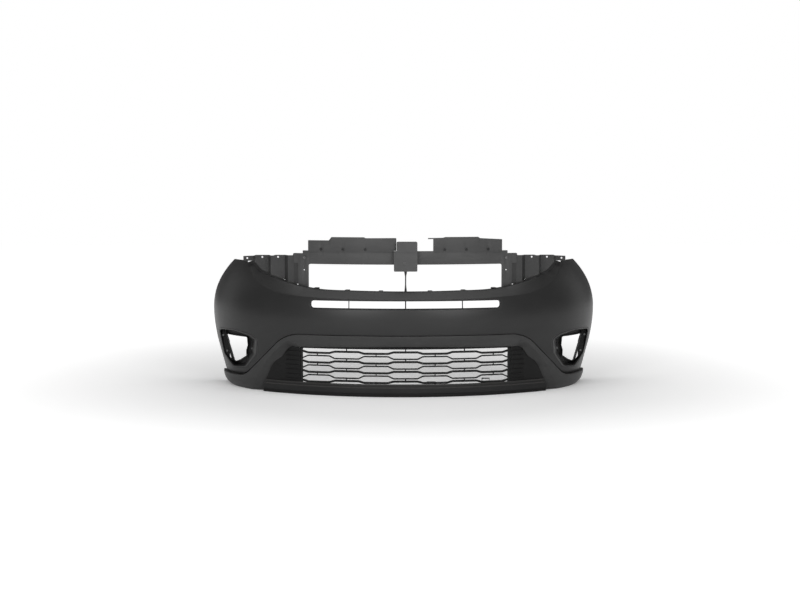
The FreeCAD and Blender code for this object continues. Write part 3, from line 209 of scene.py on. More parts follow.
class Patchwork:
    """Collects grids and makes one mesh of them."""

    def __init__(self):
        self.points, self.faces, self.count = [], [], 0

    def add(self, grid, wrap=False, flip=False):
        rows, cols = grid.shape[:2]
        self.points.append(grid.reshape(-1, 3))
        self.faces.append(grid_faces(rows, cols, self.count, wrap, flip))
        self.count += rows * cols
        return self

    def mirror(self):
        """Adds the other half: every point with its x turned round, every face the other way round."""
        self.faces += [f[:, ::-1] + self.count for f in self.faces]
        self.points += [p * np.array([-1.0, 1.0, 1.0]) for p in self.points]
        self.count *= 2

    def build(self, name, merge=1.5e-5):
        mesh = bpy.data.meshes.new(name)
        mesh.from_pydata(np.concatenate(self.points).tolist(), [], np.concatenate(self.faces).tolist())
        bm = bmesh.new()
        bm.from_mesh(mesh)
        bmesh.ops.remove_doubles(bm, verts=bm.verts, dist=merge)
        bmesh.ops.dissolve_degenerate(bm, edges=bm.edges, dist=1e-6)
        bmesh.ops.recalc_face_normals(bm, faces=bm.faces)
        front = min(bm.faces, key=lambda f: f.calc_center_median().y)
        if front.normal.y > 0:
            bmesh.ops.reverse_faces(bm, faces=bm.faces)
        bm.to_mesh(mesh)
        bm.free()
        mesh.polygons.foreach_set("use_smooth", np.ones(len(mesh.polygons), bool))
        mesh.update()
        obj = bpy.data.objects.new(name, mesh)
        bpy.context.scene.collection.objects.link(obj)
        return obj


def thicken(obj, wall):
    """Solidify gives the sheet its wall, on the side away from its face."""
    m = obj.modifiers.new("wall", "SOLIDIFY")
    m.thickness, m.offset, m.use_even_offset, m.thickness_clamp = wall, -1, True, 0.8
    return obj


def stands_for(obj, slot, *names, body="cover"):
    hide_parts(*names)
    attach(obj, body)
    print(obj.name, "faces:", len(obj.data.polygons), "for", names)
    return obj

# %% [markdown]
# ## Pushing a line along the surface, and rolling an edge
# No moulded edge is sharp. Near a seam or an opening the skin turns through a small curve into its lip. To
# draw it the surface must stop a little short of the edge, so a helper finds, at every point of a line, the
# direction that lies in the surface and square to the line. The roll itself is a parabola whose corner
# point is the true edge.

# %% Edge helpers
class Form:
    """A skin-like surface with its own width and lean, as a function of angle and height; the dish it is
    given is not used.
    """

    def __init__(self, widths, noses, dish=None):
        self.widths, self.noses = widths, noses

    def at(self, q, inset=0.0):
        return skin(q[..., 0], q[..., 1], inset, self.widths, self.noses)

    def line(self, x, z):
        """The front-view line x, z as angles and heights."""
        return np.stack([angle_at(x, z, 0.0, self.widths), np.broadcast_to(z, np.shape(x))], -1)

    def back_to(self, y, z):
        """The angle at which the surface reaches depth y."""
        n = self.noses(z)
        return np.arccos(np.clip(1 - (y - FRONT - n) / (DEPTH - n), -1, 1))

    def slopes(self, q):
        e = 1e-4
        by_angle = (self.at(q + [e, 0]) - self.at(q - [e, 0])) / (2 * e)
        by_height = (self.at(q + [0, e]) - self.at(q - [0, e])) / (2 * e)
        return by_angle, by_height

    def normal(self, q):
        a, h = self.slopes(q)
        n = np.cross(a, h)
        return n / np.linalg.norm(n, axis=-1, keepdims=True)

    def aside(self, q, side=1.0, closed=False):
        """Unit direction in the surface and square to the line q: its normal times its tangent."""
        p = self.at(q)
        t = np.roll(p, -1, 0) - np.roll(p, 1, 0) if closed else np.gradient(p, axis=0)
        t /= np.linalg.norm(t, axis=-1, keepdims=True)
        s = np.cross(self.normal(q), t) * side
        s[..., 0] = np.where(np.abs(q[..., 0]) < 1e-9, 0, s[..., 0])
        return s / np.linalg.norm(s, axis=-1, keepdims=True)

    def moved(self, q, shift):
        """The line q moved by a small vector in the surface: the vector is split into the two slopes."""
        a, h = self.slopes(q)
        aa, ah, hh = (a * a).sum(-1), (a * h).sum(-1), (h * h).sum(-1)
        sa, sh = (a * shift).sum(-1), (h * shift).sum(-1)
        det = aa * hh - ah * ah
        step = np.where(np.abs(q[..., 0]) < 1e-9, 0, (sa * hh - sh * ah) / det)
        return q + np.stack([step, (sh * aa - sa * ah) / det], -1)


def roll(corner, before, after, size, steps=5):
    """Parabola round a corner: the corner, plus one direction times (1-t) squared, plus the other times t
    squared."""
    t = np.linspace(0, 1, steps)[:, None, None]
    return corner + before * size * (1 - t) ** 2 + after * size * t**2


def between(low, high, count, power=1.0):
    """Grid ruled between two lines with the same number of points."""
    t = np.linspace(0, 1, count) ** power
    return low + (high - low) * t[:, None, None]


FASCIA = Form(half_width, nose_inset)
BACKWARD = np.array([0.0, 1.0, 0.0])
test = FASCIA.line(np.array([0.0, 0.4, 0.8]), np.array([0.4, 0.4, 0.4]))
print("skin depth across:", np.round(FASCIA.at(test)[:, 1], 3))

# %% [markdown]
# ## The painted skin
# The skin is moulded in one piece with its turned-in lips, the sloping band over its front edge and the
# shelf behind that. It could be carved out of a block with booleans, but those leave poor shading. It is
# drawn instead as a few ruled sheets between the lines it is cut along: under and over the intake slot,
# around the fog lamp pocket, and up to the fender. Each sheet stops short of its edges, and rolls finish
# them.

# %% Lines of the right half
ARCH_Y, ARCH_Z, ARCH_R = 0.612, 0.140, 0.350
FENDER_TOP_Y, FENDER_LOW_Z = 0.196, 0.330
POCKET_DEEP, SLOT_FLANGE, LIP = 0.036, 0.022, 0.016
EDGE = 0.0024


def rear_y(z):
    """Depth of the skin's rear edge: the wheel arch below, the leaning fender seam above."""
    arch = ARCH_Y - np.sqrt(np.clip(ARCH_R**2 - (z - ARCH_Z) ** 2, 0, None))
    seam = DEPTH / 2 - (z - FENDER_LOW_Z) * (DEPTH / 2 - FENDER_TOP_Y) / (SKIN_TOP - FENDER_LOW_Z)
    return np.minimum(np.where(z > 0.25, DEPTH, arch), np.minimum(seam, DEPTH / 2 - 1e-4))


def rear_line(form, z):
    return np.stack([form.back_to(rear_y(z), z), z], -1)


KNEE_X, OPEN_X = 0.600, 0.460
MIDDLE_Z, POCKET_MID_Z = 0.412, 0.302


def split_z(x):
    """Height of the line that parts the lower sheets from the upper ones."""
    t = np.clip((x - OPEN_X) / (KNEE_X - OPEN_X), 0, 1)
    return MIDDLE_Z + (POCKET_MID_Z - MIDDLE_Z) * (3 * t**2 - 2 * t**3)


end = 0.015
slot_round = SLOT_HALF - end + end * np.sin(np.linspace(0, np.pi / 2, 10))
slot_x = np.concatenate([np.linspace(0, SLOT_HALF - end, 56), slot_round[1:]])
drop = end - np.sqrt(np.clip(end**2 - np.clip(slot_x - SLOT_HALF + end, 0, None) ** 2, 0, None))
slot_low, slot_high = 0.393 + drop, 0.431 - drop
print("slot columns:", len(slot_x), "rear edge depth:", np.round(rear_y(np.array([.06, .25, .4, .59])), 3))


# %% Sheets of the right half
def skin_depth(x, z, inset):
    """Depth of the surface behind a front-view point, or of its rear end where it never comes so far out."""
    return skin(angle_at(x, z, inset), z, inset)[..., 1]


def flat_inward(form, q):
    """Level direction straight into the surface: its normal without the height, turned round."""
    n = -form.normal(q) * np.array([1.0, 1.0, 0.0])
    n[..., 0] = np.where(np.abs(q[..., 0]) < 1e-9, 0, n[..., 0])
    return n / np.linalg.norm(n, axis=-1, keepdims=True)


def lip(work, edge, before, after, size, depth):
    """A roll round an edge and a straight strip behind it, to a depth that may differ from point to point.
    """
    size = np.broadcast_to(size, edge.shape[:1])[:, None]
    depth = np.broadcast_to(depth, edge.shape[:1])[:, None]
    work.add(roll(edge, before, after, size))
    work.add(between(edge + after * size, edge + after * np.maximum(depth, size * 1.3), 4))


near_x = np.linspace(SLOT_HALF, OPEN_X, 7)
open_x = np.linspace(OPEN_X, KNEE_X, 18)
leg_x = np.concatenate([np.linspace(KNEE_X, 0.726, 20), [0.7264]])
side_angle = FASCIA.line(np.array([0.7264]), np.array([SKIN_TOP]))[0, 0]
side_end = FASCIA.back_to(rear_y(np.array(SKIN_TOP)), SKIN_TOP)
side_x = half_width(SKIN_TOP) * np.sin(np.linspace(side_angle, side_end, 22)[1:])
top_x = np.concatenate([slot_x, near_x[1:], open_x[1:], leg_x[1:], side_x])
on_crease = top_x <= 0.7261
top_z = np.where(on_crease, crease_z(np.minimum(top_x, 0.726)), SKIN_TOP)
crease = FASCIA.line(top_x, top_z)
upper_gap = np.where(top_x < SLOT_HALF, top_z - np.interp(top_x, slot_x, slot_high), 1.0)
crease_roll = np.minimum(EDGE, upper_gap * 0.35)
crease_down = FASCIA.aside(crease, -1.0)
crease_in = FASCIA.moved(crease, crease_down * crease_roll[:, None])

foot_x = np.concatenate([np.linspace(KNEE_X, 0.705, 16)[1:], np.linspace(0.705, 0.775, 14)[1:]])
foot_end = rear_line(FASCIA, np.array([0.061]))[0]
foot_last = np.linspace(FASCIA.line(np.array(0.775), np.array(0.061))[0], foot_end[0], 16)[1:]
seam_x = np.concatenate([slot_x, near_x[1:], open_x[1:], foot_x])
seam = np.concatenate([FASCIA.line(seam_x, seam_z(seam_x)), np.stack([foot_last, np.full(15, 0.061)], -1)])
seam_up = FASCIA.aside(seam, 1.0)
seam_in = FASCIA.moved(seam, seam_up * EDGE)
print("columns along the seam:", len(seam), "and the crease:", len(crease))

a, b, c = len(slot_x), len(slot_x) + len(near_x) - 1, len(slot_x) + len(near_x) + len(open_x) - 2
slot_end = FASCIA.line(np.full(1, SLOT_HALF), np.full(1, MIDDLE_Z))
slot_back = FASCIA.line(slot_x[::-1], slot_high[::-1])
slot_rim = np.concatenate([FASCIA.line(slot_x, slot_low), slot_end, slot_back])
slot_size = np.concatenate([np.full(a + 1, 0.0026), crease_roll[:a][::-1]])
slot_out = FASCIA.aside(slot_rim, -1.0)
slot_in = FASCIA.moved(slot_rim, slot_out * slot_size[:, None])
LOW_ROWS, HIGH_ROWS = 14, 16
work = Patchwork()


def sheet(low, high, rows):
    """A patch of the skin between two lines given as angles and heights."""
    work.add(FASCIA.at(between(low, high, rows)))


wedge = np.linspace(0, 1, len(near_x))[:, None]
meet = FASCIA.line(np.array(OPEN_X), np.array(split_z(OPEN_X)))
under, beside, over = slot_in[a - 1], slot_in[a], slot_in[a + 1]
wedge_low = under + (meet - under) * wedge
wedge_mid = beside + (meet - beside) * wedge
wedge_high = over + (meet - over) * wedge
split = FASCIA.line(open_x, split_z(open_x))
sheet(seam_in[:a], slot_in[:a], LOW_ROWS)
sheet(slot_in[a + 1:][::-1], crease_in[:a], HIGH_ROWS)
sheet(seam_in[a - 1:b], wedge_low, LOW_ROWS)
sheet(wedge_low, wedge_mid, 2)
sheet(wedge_mid, wedge_high, 2)
sheet(wedge_high, crease_in[a - 1:b], HIGH_ROWS)
sheet(seam_in[b - 1:c], split, LOW_ROWS)
sheet(split, crease_in[b - 1:c], HIGH_ROWS)

over_pocket = crease_in[c - 1:]
across = (over_pocket[:, :1] - over_pocket[0, 0]) / (over_pocket[-1, 0] - over_pocket[0, 0])
left_top = split[-1]
right_top = rear_line(FASCIA, np.array([POCKET_MID_Z]))[0]
pocket_top = left_top + (right_top - left_top) * across
pocket_top[:, 1] = POCKET_MID_Z
sheet_high = between(pocket_top, over_pocket, HIGH_ROWS)
sheet_high[:, -1] = rear_line(FASCIA, np.linspace(POCKET_MID_Z, over_pocket[-1, 1], HIGH_ROWS))
work.add(FASCIA.at(sheet_high))

right_z = np.linspace(seam_in[-1, 1], POCKET_MID_Z, 26)
around = np.concatenate([seam_in[c - 1:-1], rear_line(FASCIA, right_z)[:-1], pocket_top[::-1][:-1],
                         between(seam_in[c - 1:c], split[-1:], LOW_ROWS)[::-1, 0][:-1]])
around[len(seam_in[c - 1:-1])] = [FASCIA.back_to(rear_y(right_z[0]), right_z[0]), right_z[0]]
outline = rounded([(p[0], p[1], p[2]) for p in ((.868, .266, .014), (.788, .271, .020), (.712, .257, .020),
                   (.678, .236, .016), (.685, .172, .020), (.738, .104, .020), (.800, .096, .016),
                   (.850, .150, .030))], steps=10)
outline = resample(outline, 900, closed=True)
centre = np.array([0.775, 0.190])
seen = np.stack([half_width(around[:, 1]) * np.sin(around[:, 0]), around[:, 1]], -1) - centre
turn = np.arctan2(outline[:, 1] - centre[1], outline[:, 0] - centre[0])
order = np.argsort(turn)
reach = np.linalg.norm(outline - centre, axis=1)
facing = np.arctan2(seen[:, 1], seen[:, 0])
rim_reach = np.interp(facing, turn[order], reach[order], period=2 * np.pi)
rim_xz = centre + rim_reach[:, None] * np.stack([np.cos(facing), np.sin(facing)], -1)
rim = FASCIA.line(rim_xz[:, 0], rim_xz[:, 1])
rim_out = FASCIA.aside(rim, -1.0, closed=True)
RIM = 0.009
rim_in = FASCIA.moved(rim, rim_out * RIM)


def closed(line):
    """The line with its first point again at its end."""
    return np.concatenate([line, line[:1]])


work.add(FASCIA.at(between(closed(rim_in), closed(around), 13, 1.25)))
print("points round the pocket:", len(rim), "rows to the seam: 13")

# %% Lips of the right half, then both halves as one shell
lip(work, FASCIA.at(seam), seam_up, flat_inward(FASCIA, seam), EDGE, LIP)
slot_edge = FASCIA.at(slot_rim)
slot_x_all, slot_z_all = slot_edge[:, 0], slot_edge[:, 2]
lip(work, slot_edge, slot_out, np.broadcast_to(BACKWARD, slot_edge.shape), slot_size,
    skin_depth(slot_x_all, slot_z_all, SLOT_FLANGE) - slot_edge[:, 1])
pocket_edge = FASCIA.at(rim)
lean = 0.003 + 0.021 * np.clip(-np.cos(facing), 0, 1)
end_xz = rim_xz - lean[:, None] * (rim_xz - centre) / np.linalg.norm(rim_xz - centre, axis=1)[:, None]
end_y = np.minimum(skin_depth(end_xz[:, 0], end_xz[:, 1], POCKET_DEEP + 0.001), 0.1715)
inwards = np.stack([end_xz[:, 0], end_y, end_xz[:, 1]], -1) - pocket_edge
wall_long = np.linalg.norm(inwards, axis=1)
lip(work, closed(pocket_edge), closed(rim_out), closed(inwards / wall_long[:, None]), RIM, closed(wall_long))

count = int(on_crease.sum())
crease_edge = FASCIA.at(crease[:count])
rise = (ledge_z(top_x[:count]) - top_z[:count])
run = np.minimum(0.039, 0.039 * (0.35 + 0.65 * rise / 0.039))
lift = np.stack([0 * rise, 0 * rise, rise], -1)
ledge_in = FASCIA.at(crease[:count], run) + lift
shelf_in = FASCIA.at(crease[:count], run + 0.028) + lift
post = FRONT + 0.080 + 1.374 - np.sqrt(1.374**2 - shelf_in[:, 0] ** 2) - 0.001
at_post = np.clip((np.abs(np.abs(shelf_in[:, 0]) - 0.459) - 0.025) / 0.003, 0, 1)
keep = np.where(shelf_in[:, 1] > post, at_post + (1 - at_post) * np.clip(
    (post - ledge_in[:, 1]) / (shelf_in[:, 1] - ledge_in[:, 1]), 0.05, 1), 1)
shelf_in = ledge_in + (shelf_in - ledge_in) * keep[:, None]
slope = ledge_in - crease_edge
slope /= np.linalg.norm(slope, axis=1, keepdims=True)
level = shelf_in - ledge_in
level /= np.linalg.norm(level, axis=1, keepdims=True)
fold = 0.0025
size = crease_roll[:count, None]
work.add(roll(crease_edge, crease_down[:count], slope, size))
work.add(between(crease_edge + slope * size, ledge_in - slope * fold, 6))
work.add(roll(ledge_in, -slope, level, fold))
work.add(between(ledge_in + level * fold, shelf_in, 5))
lip(work, FASCIA.at(crease[count:]), crease_down[count:], flat_inward(FASCIA, crease[count:]), EDGE, 0.006)

work.mirror()
fascia = thicken(work.build("fascia_skin"), WALL)
stands_for(fascia, "skin_plastic", "main_fascia")

# %% [markdown]
# ## The lower trim
# Under the skin sits a separate, smoother moulding that frames the grille. It has the same form, only a
# little prouder, and its lower corners swell outwards to the hip that steers air round the tyre. It is one
# ruled band from the mouth to the seam. A soft ridge follows the mouth, and inside the ridge the face
# slopes back, which is what makes the inner half of the legs darker.

# %% Form and lines of the trim
HIP_Z, HIP_HALF, HIP_R, PROUD = 0.058, 0.866, 0.070, 0.006


def trim_width(z):
    """Half width of the trim: the skin's plus its pride, swelling as a bell curve to the hip, round below
    it."""
    swell = (HIP_HALF - half_width(HIP_Z) - PROUD) * np.exp(-((z - HIP_Z) / 0.060) ** 2)
    above = half_width(z) + PROUD + swell
    below = HIP_HALF - HIP_R + np.sqrt(np.clip(HIP_R**2 - (HIP_Z - z) ** 2, 0, None))
    return np.where(z < HIP_Z, below, above)


def trim_nose(z):
    """Lean of the trim's nose: the skin's less its pride, and forward again in a straight line below."""
    return np.where(z > 0.110, nose_inset(z) - PROUD, nose_inset(0.110) - PROUD - (0.110 - z) * 0.16)


TRIM = Form(trim_width, trim_nose)


def along(points, marks, counts):
    """Stations along a line: between marks, given as shares of its length, each stretch gets its own count.
    """
    run = np.concatenate([[0], np.cumsum(np.linalg.norm(np.diff(points, axis=0), axis=1))])
    stretches = [np.linspace(m, n, k, endpoint=False) for m, n, k in zip(marks, marks[1:], counts)]
    share = np.concatenate(stretches + [[1.0]])
    return np.stack([np.interp(share * run[-1], run, points[:, k]) for k in range(2)], -1)


def share_at(points, test):
    """The share of a line's length at which its coordinate first passes a value."""
    run = np.concatenate([[0], np.cumsum(np.linalg.norm(np.diff(points, axis=0), axis=1))])
    return float(run[np.argmax(test(points))] / run[-1])


mouth = rounded([(0, .226), (.430, .219, .9), (.537, .216, .046), (.608, .122, .160), (.662, 0)],
                closed=False, steps=30)
mouth = resample(mouth, 1600)
GAP = 0.0012
top_seam = rounded([(0, .275 - GAP), (.541 - .7 * GAP, .275 - GAP, .150), (.745 - .7 * GAP, .061 - GAP, .080),
                    (1.2, .061 - GAP)], closed=False, steps=40)
arch_x = float(TRIM.at(rear_line(TRIM, np.array([.061 - GAP])))[0, 0])
top_seam = resample(np.concatenate([top_seam[top_seam[:, 0] < arch_x], [[arch_x, .061 - GAP]]]), 1600)
COUNTS = [62, 26, 30, 34]
inner_marks = [0, share_at(mouth, lambda p: p[:, 0] > .495), share_at(mouth, lambda p: p[:, 1] < .190),
               share_at(mouth, lambda p: p[:, 1] < .062), share_at(mouth, lambda p: p[:, 1] < .040)]
inner = along(mouth, inner_marks, COUNTS)
inner[-1] = [np.interp(-.040, -mouth[:, 1], mouth[:, 0]), .040]
outer_marks = [0, *(share_at(top_seam, lambda p, x=x: p[:, 0] > x) for x in (.495, .618, .745)), 1]
outer = along(top_seam, outer_marks, COUNTS)
low_z = np.linspace(.040, 0, 9)[1:]
inner = np.concatenate([inner, np.stack([np.interp(-low_z, -mouth[:, 1], mouth[:, 0]), low_z], -1)])
rear_z = np.linspace(.061 - GAP, 0, 9)[1:]
outer_q = np.concatenate([TRIM.line(outer[:, 0], outer[:, 1]), rear_line(TRIM, rear_z)])
inner_q = TRIM.line(inner[:, 0], inner[:, 1])
inner_q[0, 0] = outer_q[0, 0] = 0
n_top = len(outer)
print("trim columns:", len(inner_q), "rear corner at x", round(arch_x, 4))

# %% The band, its ridge and its lips
leg = np.clip((inner[:, 0] - 0.470) / 0.070, 0, 1)
leg = leg * leg * (3 - 2 * leg)
ridge_wide = 0.010 + 0.038 * leg
ridge_deep = 0.0040 + 0.0220 * leg
mouth_out = TRIM.aside(inner_q, -1.0)
band = np.linalg.norm(TRIM.at(outer_q) - TRIM.at(inner_q), axis=1)
ridge_share = np.clip(ridge_wide / band, 0.05, 0.6)[:, None]
seam_side = TRIM.aside(outer_q[:n_top], 1.0)
outer_in = outer_q.copy()
outer_in[:n_top] = TRIM.moved(outer_q[:n_top], -seam_side * EDGE)
work = Patchwork()
soft = np.clip(0.004 / band, 0.004, 0.1)[:, None]
after_q = inner_q + (outer_in - inner_q) * (ridge_share + soft)
edge_q = inner_q + (outer_in - inner_q) * np.clip(EDGE / band, 0.002, 0.2)[:, None]


def dished(q, share, soft):
    """Trim point with the facet's slope: depth times one less the share of the way to the ridge, blended by
    a parabola where the slope ends."""
    t = 1 - share
    t = np.where(t > soft, t, np.where(t > -soft, (t + soft) ** 2 / (4 * soft), 0))
    return TRIM.at(q, ridge_deep * t)


s_soft = (soft / ridge_share)[:, 0]
shares = [np.linspace(0, 1, 9)[:, None] * (1 - s_soft),
          (1 - s_soft) + np.linspace(0, 1, 5)[:, None] * 2 * s_soft]
share_edge = (np.clip(EDGE / band, 0.002, 0.2) / ridge_share[:, 0])
rows = []
for piece in shares:
    piece = np.maximum(piece, share_edge)
    rows.append(dished(inner_q + (outer_in - inner_q) * (piece[..., None] * ridge_share), piece, s_soft))
rows.append(TRIM.at(between(after_q, outer_in, 24)))
for grid in rows:
    work.add(grid)
corner = dished(inner_q, np.zeros(len(inner_q)), s_soft)
before = dished(edge_q, share_edge, s_soft) - corner
reach = np.linalg.norm(before, axis=1)
before /= reach[:, None]
lip(work, corner, before, np.broadcast_to(BACKWARD, corner.shape), reach, 0.044)
seam_edge, seam_inward = TRIM.at(outer_q[:n_top]), flat_inward(TRIM, outer_q[:n_top])
lip_deep = (0.027 + 0.029 * np.clip((outer[:, 0] - 0.60) / 0.12, 0, 1))[:, None]
lip(work, seam_edge, -seam_side, seam_inward, EDGE, lip_deep[:, 0])
tongue = seam_edge + seam_inward * lip_deep
work.add(between(tongue, tongue + seam_side * 0.009, 3))
sole = np.concatenate([grid[:, -1] for grid in rows])
sole_q = TRIM.line(np.clip(sole[:, 0], 0, 0.83), np.full(len(sole), 0.01))
sole_in = sole + flat_inward(TRIM, sole_q) * 0.014
sole_in[:, 1] = np.minimum(sole_in[:, 1], DEPTH / 2 - 0.0003)
work.add(between(sole, sole_in, 3))
work.mirror()
trim = thicken(work.build("lower_trim_moulding"), WALL)
stands_for(trim, "trim_plastic", "lower_trim")

# %% [markdown]
# ## Strips carried along a path
# The valance, the air dam and the grille's bars are all one cross-section carried along a line. The helper
# takes the path, two directions at each of its points and a closed outline, and gives the tube with both
# ends closed.

# %% Carrying a profile
def carried(work, path, across, back, outline, caps=True):
    """Point of the tube: path point, plus one direction times the outline's first number, plus the other
    direction times its second. The ends are closed by drawing the last ring in to its middle."""
    o = np.asarray(outline)
    ring = path[:, None] + across[:, None] * o[None, :, :1] + back[:, None] * o[None, :, 1:]
    if caps:
        middle = ring.mean(axis=1, keepdims=True)
        soft = 0.85
        first = middle[:1] + (ring[:1] - middle[:1]) * np.array([0.0, soft])[:, None, None]
        last = middle[-1:] + (ring[-1:] - middle[-1:]) * np.array([soft, 0.0])[:, None, None]
        ring = np.concatenate([first, ring, last])
    work.add(ring, wrap=True)


def rounded_bar(high, deep, r, steps=4):
    """Cross-section of a moulded bar: a rectangle with rounded corners, its front at zero depth."""
    return rounded([(-high / 2, 0, r), (high / 2, 0, r), (high / 2, deep, min(r, 0.001)),
                    (-high / 2, deep, min(r, 0.001))], steps=steps)


def fillet(points, radius, steps=6):
    """A corner line with every inner corner rounded by the same radius."""
    r = [0] + [radius] * (len(points) - 2) + [0]
    return rounded([(*p, k) for p, k in zip(points, r)], closed=False, steps=steps)


def bend(radius, inset, x):
    """Depth of a face that is bent round an upright axis: its crown plus the circle's sag."""
    return FRONT + inset + radius - np.sqrt(radius**2 - x**2)


# %% [markdown]
# ## The grille
# Seven columns of six-sided cells, wide ones and narrow ones, stand between a top and a bottom rim. A plane
# with a bump or a cut-out texture would look flat from the side, so every bar is a real fin, 18 mm deep and
# bent with the face. Thick bars zig-zag between thin ones, and short ties join them.

# %% Bars, ties and rim
PITCH, COLUMNS, ROW, TOP_BAR, BAR_LIFT = 0.132, 7, 0.0438, 0.1894, 0.007
THICK, THIN, NARROW_CELL, SLOPE, FIN = 0.008, 0.0046, 0.0126, 0.024, 0.018
MESH_LOW, MESH_TOP, GRILLE_LOW, RIM_WIDE = 0.051, 0.210, 0.044, 0.012
work = Patchwork()


def fin(points, thick, deep=FIN):
    """A bar through front-view points, bent with the grille's face: its cross-section is carried along
    them."""
    flat = resample(fillet(points, 0.006), 8 + int(len(points) * 9))
    x, z = flat[:, 0], flat[:, 1]
    path = np.stack([x, bend(1.560, 0.050, x), z], -1)
    t = np.gradient(flat, axis=0)
    t /= np.linalg.norm(t, axis=1, keepdims=True)
    across = np.stack([-t[:, 1], 0 * x, t[:, 0]], -1)
    carried(work, path, across, np.broadcast_to(BACKWARD, path.shape), rounded_bar(thick, deep, thick * 0.3))


def zigzag(odd_z, even_z):
    """Corner points of a bar: level over each column, slanted in between."""
    number = np.arange(1, COLUMNS + 1)
    middle = (number - (COLUMNS + 1) / 2) * PITCH
    z = np.where(number % 2 == 1, odd_z, even_z)
    flat = (PITCH - SLOPE) / 2
    line = np.stack([np.stack([middle - flat, middle + flat], -1).ravel(), np.repeat(z, 2)], -1)
    end_x = COLUMNS * PITCH / 2
    line[[0, -1], 0] = SLOPE - end_x, end_x - SLOPE
    return np.concatenate([[[-end_x, even_z]], line, [[end_x, even_z]]])


rows = int((TOP_BAR - MESH_LOW) / ROW) + 1
for k in range(rows):
    z = TOP_BAR - k * ROW
    fin(zigzag(z, z + BAR_LIFT), THICK)
    last = k == rows - 1
    if not last:
        fin(zigzag(z - NARROW_CELL, z - ROW + BAR_LIFT + NARROW_CELL), THIN)
    for i in range(1, COLUMNS + 1):
        x = (i - (COLUMNS + 1) / 2) * PITCH
        low = (MESH_LOW - 0.002 if last else z - NARROW_CELL) if i % 2 else z + BAR_LIFT
        high = z if i % 2 else (MESH_TOP + 0.002 if k == 0 else z + BAR_LIFT + NARROW_CELL)
        fin([(x, low), (x, high)], THIN)
half = COLUMNS * PITCH / 2
window = rounded([(-half, MESH_LOW, .004), (half, MESH_LOW, .004), (half, MESH_TOP, .004),
                  (-half, MESH_TOP, .004)], steps=6)
window = resample(window, 420, closed=True)
mouth_all = np.concatenate([mouth * [-1, 1], mouth])
mouth_order = np.argsort(mouth_all[:, 0])
border = window.copy()
border[:, 0] = window[:, 0] * (half + RIM_WIDE) / half
share = (window[:, 1] - MESH_LOW) / (MESH_TOP - MESH_LOW)
border_top = np.interp(border[:, 0], mouth_all[mouth_order, 0], mouth_all[mouth_order, 1]) - 0.001
border[:, 1] = GRILLE_LOW + (border_top - GRILLE_LOW) * share


def on_face(flat, back=0.0):
    return np.stack([flat[:, 0], bend(1.560, 0.050, flat[:, 0]) + back, flat[:, 1]], -1)


def ring_strip(first, second):
    work.add(np.stack([first, second]), wrap=True)


mid_ring = window + (border - window) * 0.18
ring_strip(on_face(window, FIN), on_face(window, 0.0015))
ring_strip(on_face(window, 0.0015), on_face(mid_ring))
ring_strip(on_face(mid_ring), on_face(border))
ring_strip(on_face(border), on_face(border, FIN))
grille = work.build("mesh_grille")
stands_for(grille, "grille_plastic", "lower_grille")

# %% [markdown]
# ## Valance and air dam
# Both are bent round one upright axis, so each is a cross-section turned round it. The valance is a thin
# sheet with a groove along its top; the dam is a solid strip of softer rubber under it.

# %% Turned strips
def turned_strip(name, profile, radius, half_x, closed_profile=True, wall=0.0):
    """Surface of revolution: distance from the axis and height come from the profile, the angle runs side
    to side."""
    p = np.asarray(profile)
    end = np.minimum(half_x, np.interp(-p[:, 1], -mouth[:, 1], mouth[:, 0]) - 0.001)
    angle = np.linspace(-1, 1, 161)[:, None] * np.arcsin(end / p[:, 0])[None]
    axis = FRONT + 0.014 + VALANCE_R
    grid = np.stack(np.broadcast_arrays(p[None, :, 0] * np.sin(angle), axis - p[None, :, 0] * np.cos(angle),
                                        p[None, :, 1]), -1)
    work = Patchwork()
    if closed_profile:
        middle = grid.mean(axis=1, keepdims=True)
        grid = np.concatenate([middle[:1] + 0 * grid[:1], grid, middle[-1:] + 0 * grid[-1:]])
    work.add(grid, wrap=closed_profile)
    obj = work.build(name)
    return thicken(obj, wall) if wall else obj


VALANCE_R, DAM_H = 1.207, 0.016
sheet_profile = rounded([(VALANCE_R - .030, DAM_H), (VALANCE_R, DAM_H, .0035), (VALANCE_R, .041, .0035),
                         (VALANCE_R - .008, .043, .003), (VALANCE_R - .008, .057)], closed=False, steps=6)
valance = turned_strip("valance_strip", sheet_profile, VALANCE_R, 0.652, closed_profile=False, wall=0.0028)
stands_for(valance, "valance_plastic", "lower_valance")
DAM_OUT, DAM_IN = VALANCE_R - 0.006, VALANCE_R - 0.011
dam_profile = rounded([(DAM_OUT, 0, .002), (DAM_OUT, DAM_H, .0008),
                       (DAM_IN, DAM_H, .0008), (DAM_IN, 0, .002)], steps=5)
dam = turned_strip("air_dam_rubber", dam_profile, VALANCE_R, 0.648)
stands_for(dam, "dam_rubber", "air_dam_strip")

# %% [markdown]
# ## Writing shaders as sums
# A finish needs many small pieces of arithmetic: noise times strength, one less a mask. Drawing every Math
# node by hand hides the idea, so a small class wraps a socket and lets plus, minus and times add those
# nodes.

# %% Shader helper
class Wire:
    """A socket whose sums, products and powers add Math nodes to its own material."""

    def __init__(self, finish, socket):
        self.finish, self.socket = finish, socket

    def maths(self, operation, a, b=None):
        values = {0: a} if b is None else {0: a, 1: b}
        return self.finish.node("Math", {"operation": operation}, values)

    def __add__(self, other): return self.maths("ADD", self, other)
    def __radd__(self, other): return self.maths("ADD", other, self)
    def __sub__(self, other): return self.maths("SUBTRACT", self, other)
    def __rsub__(self, other): return self.maths("SUBTRACT", other, self)
    def __mul__(self, other): return self.maths("MULTIPLY", self, other)
    def __rmul__(self, other): return self.maths("MULTIPLY", other, self)
    def __pow__(self, other): return self.maths("POWER", self, other)

    def clear(self):
        """Kept between nought and one."""
        return self.finish.node("Clamp", {}, {0: self})


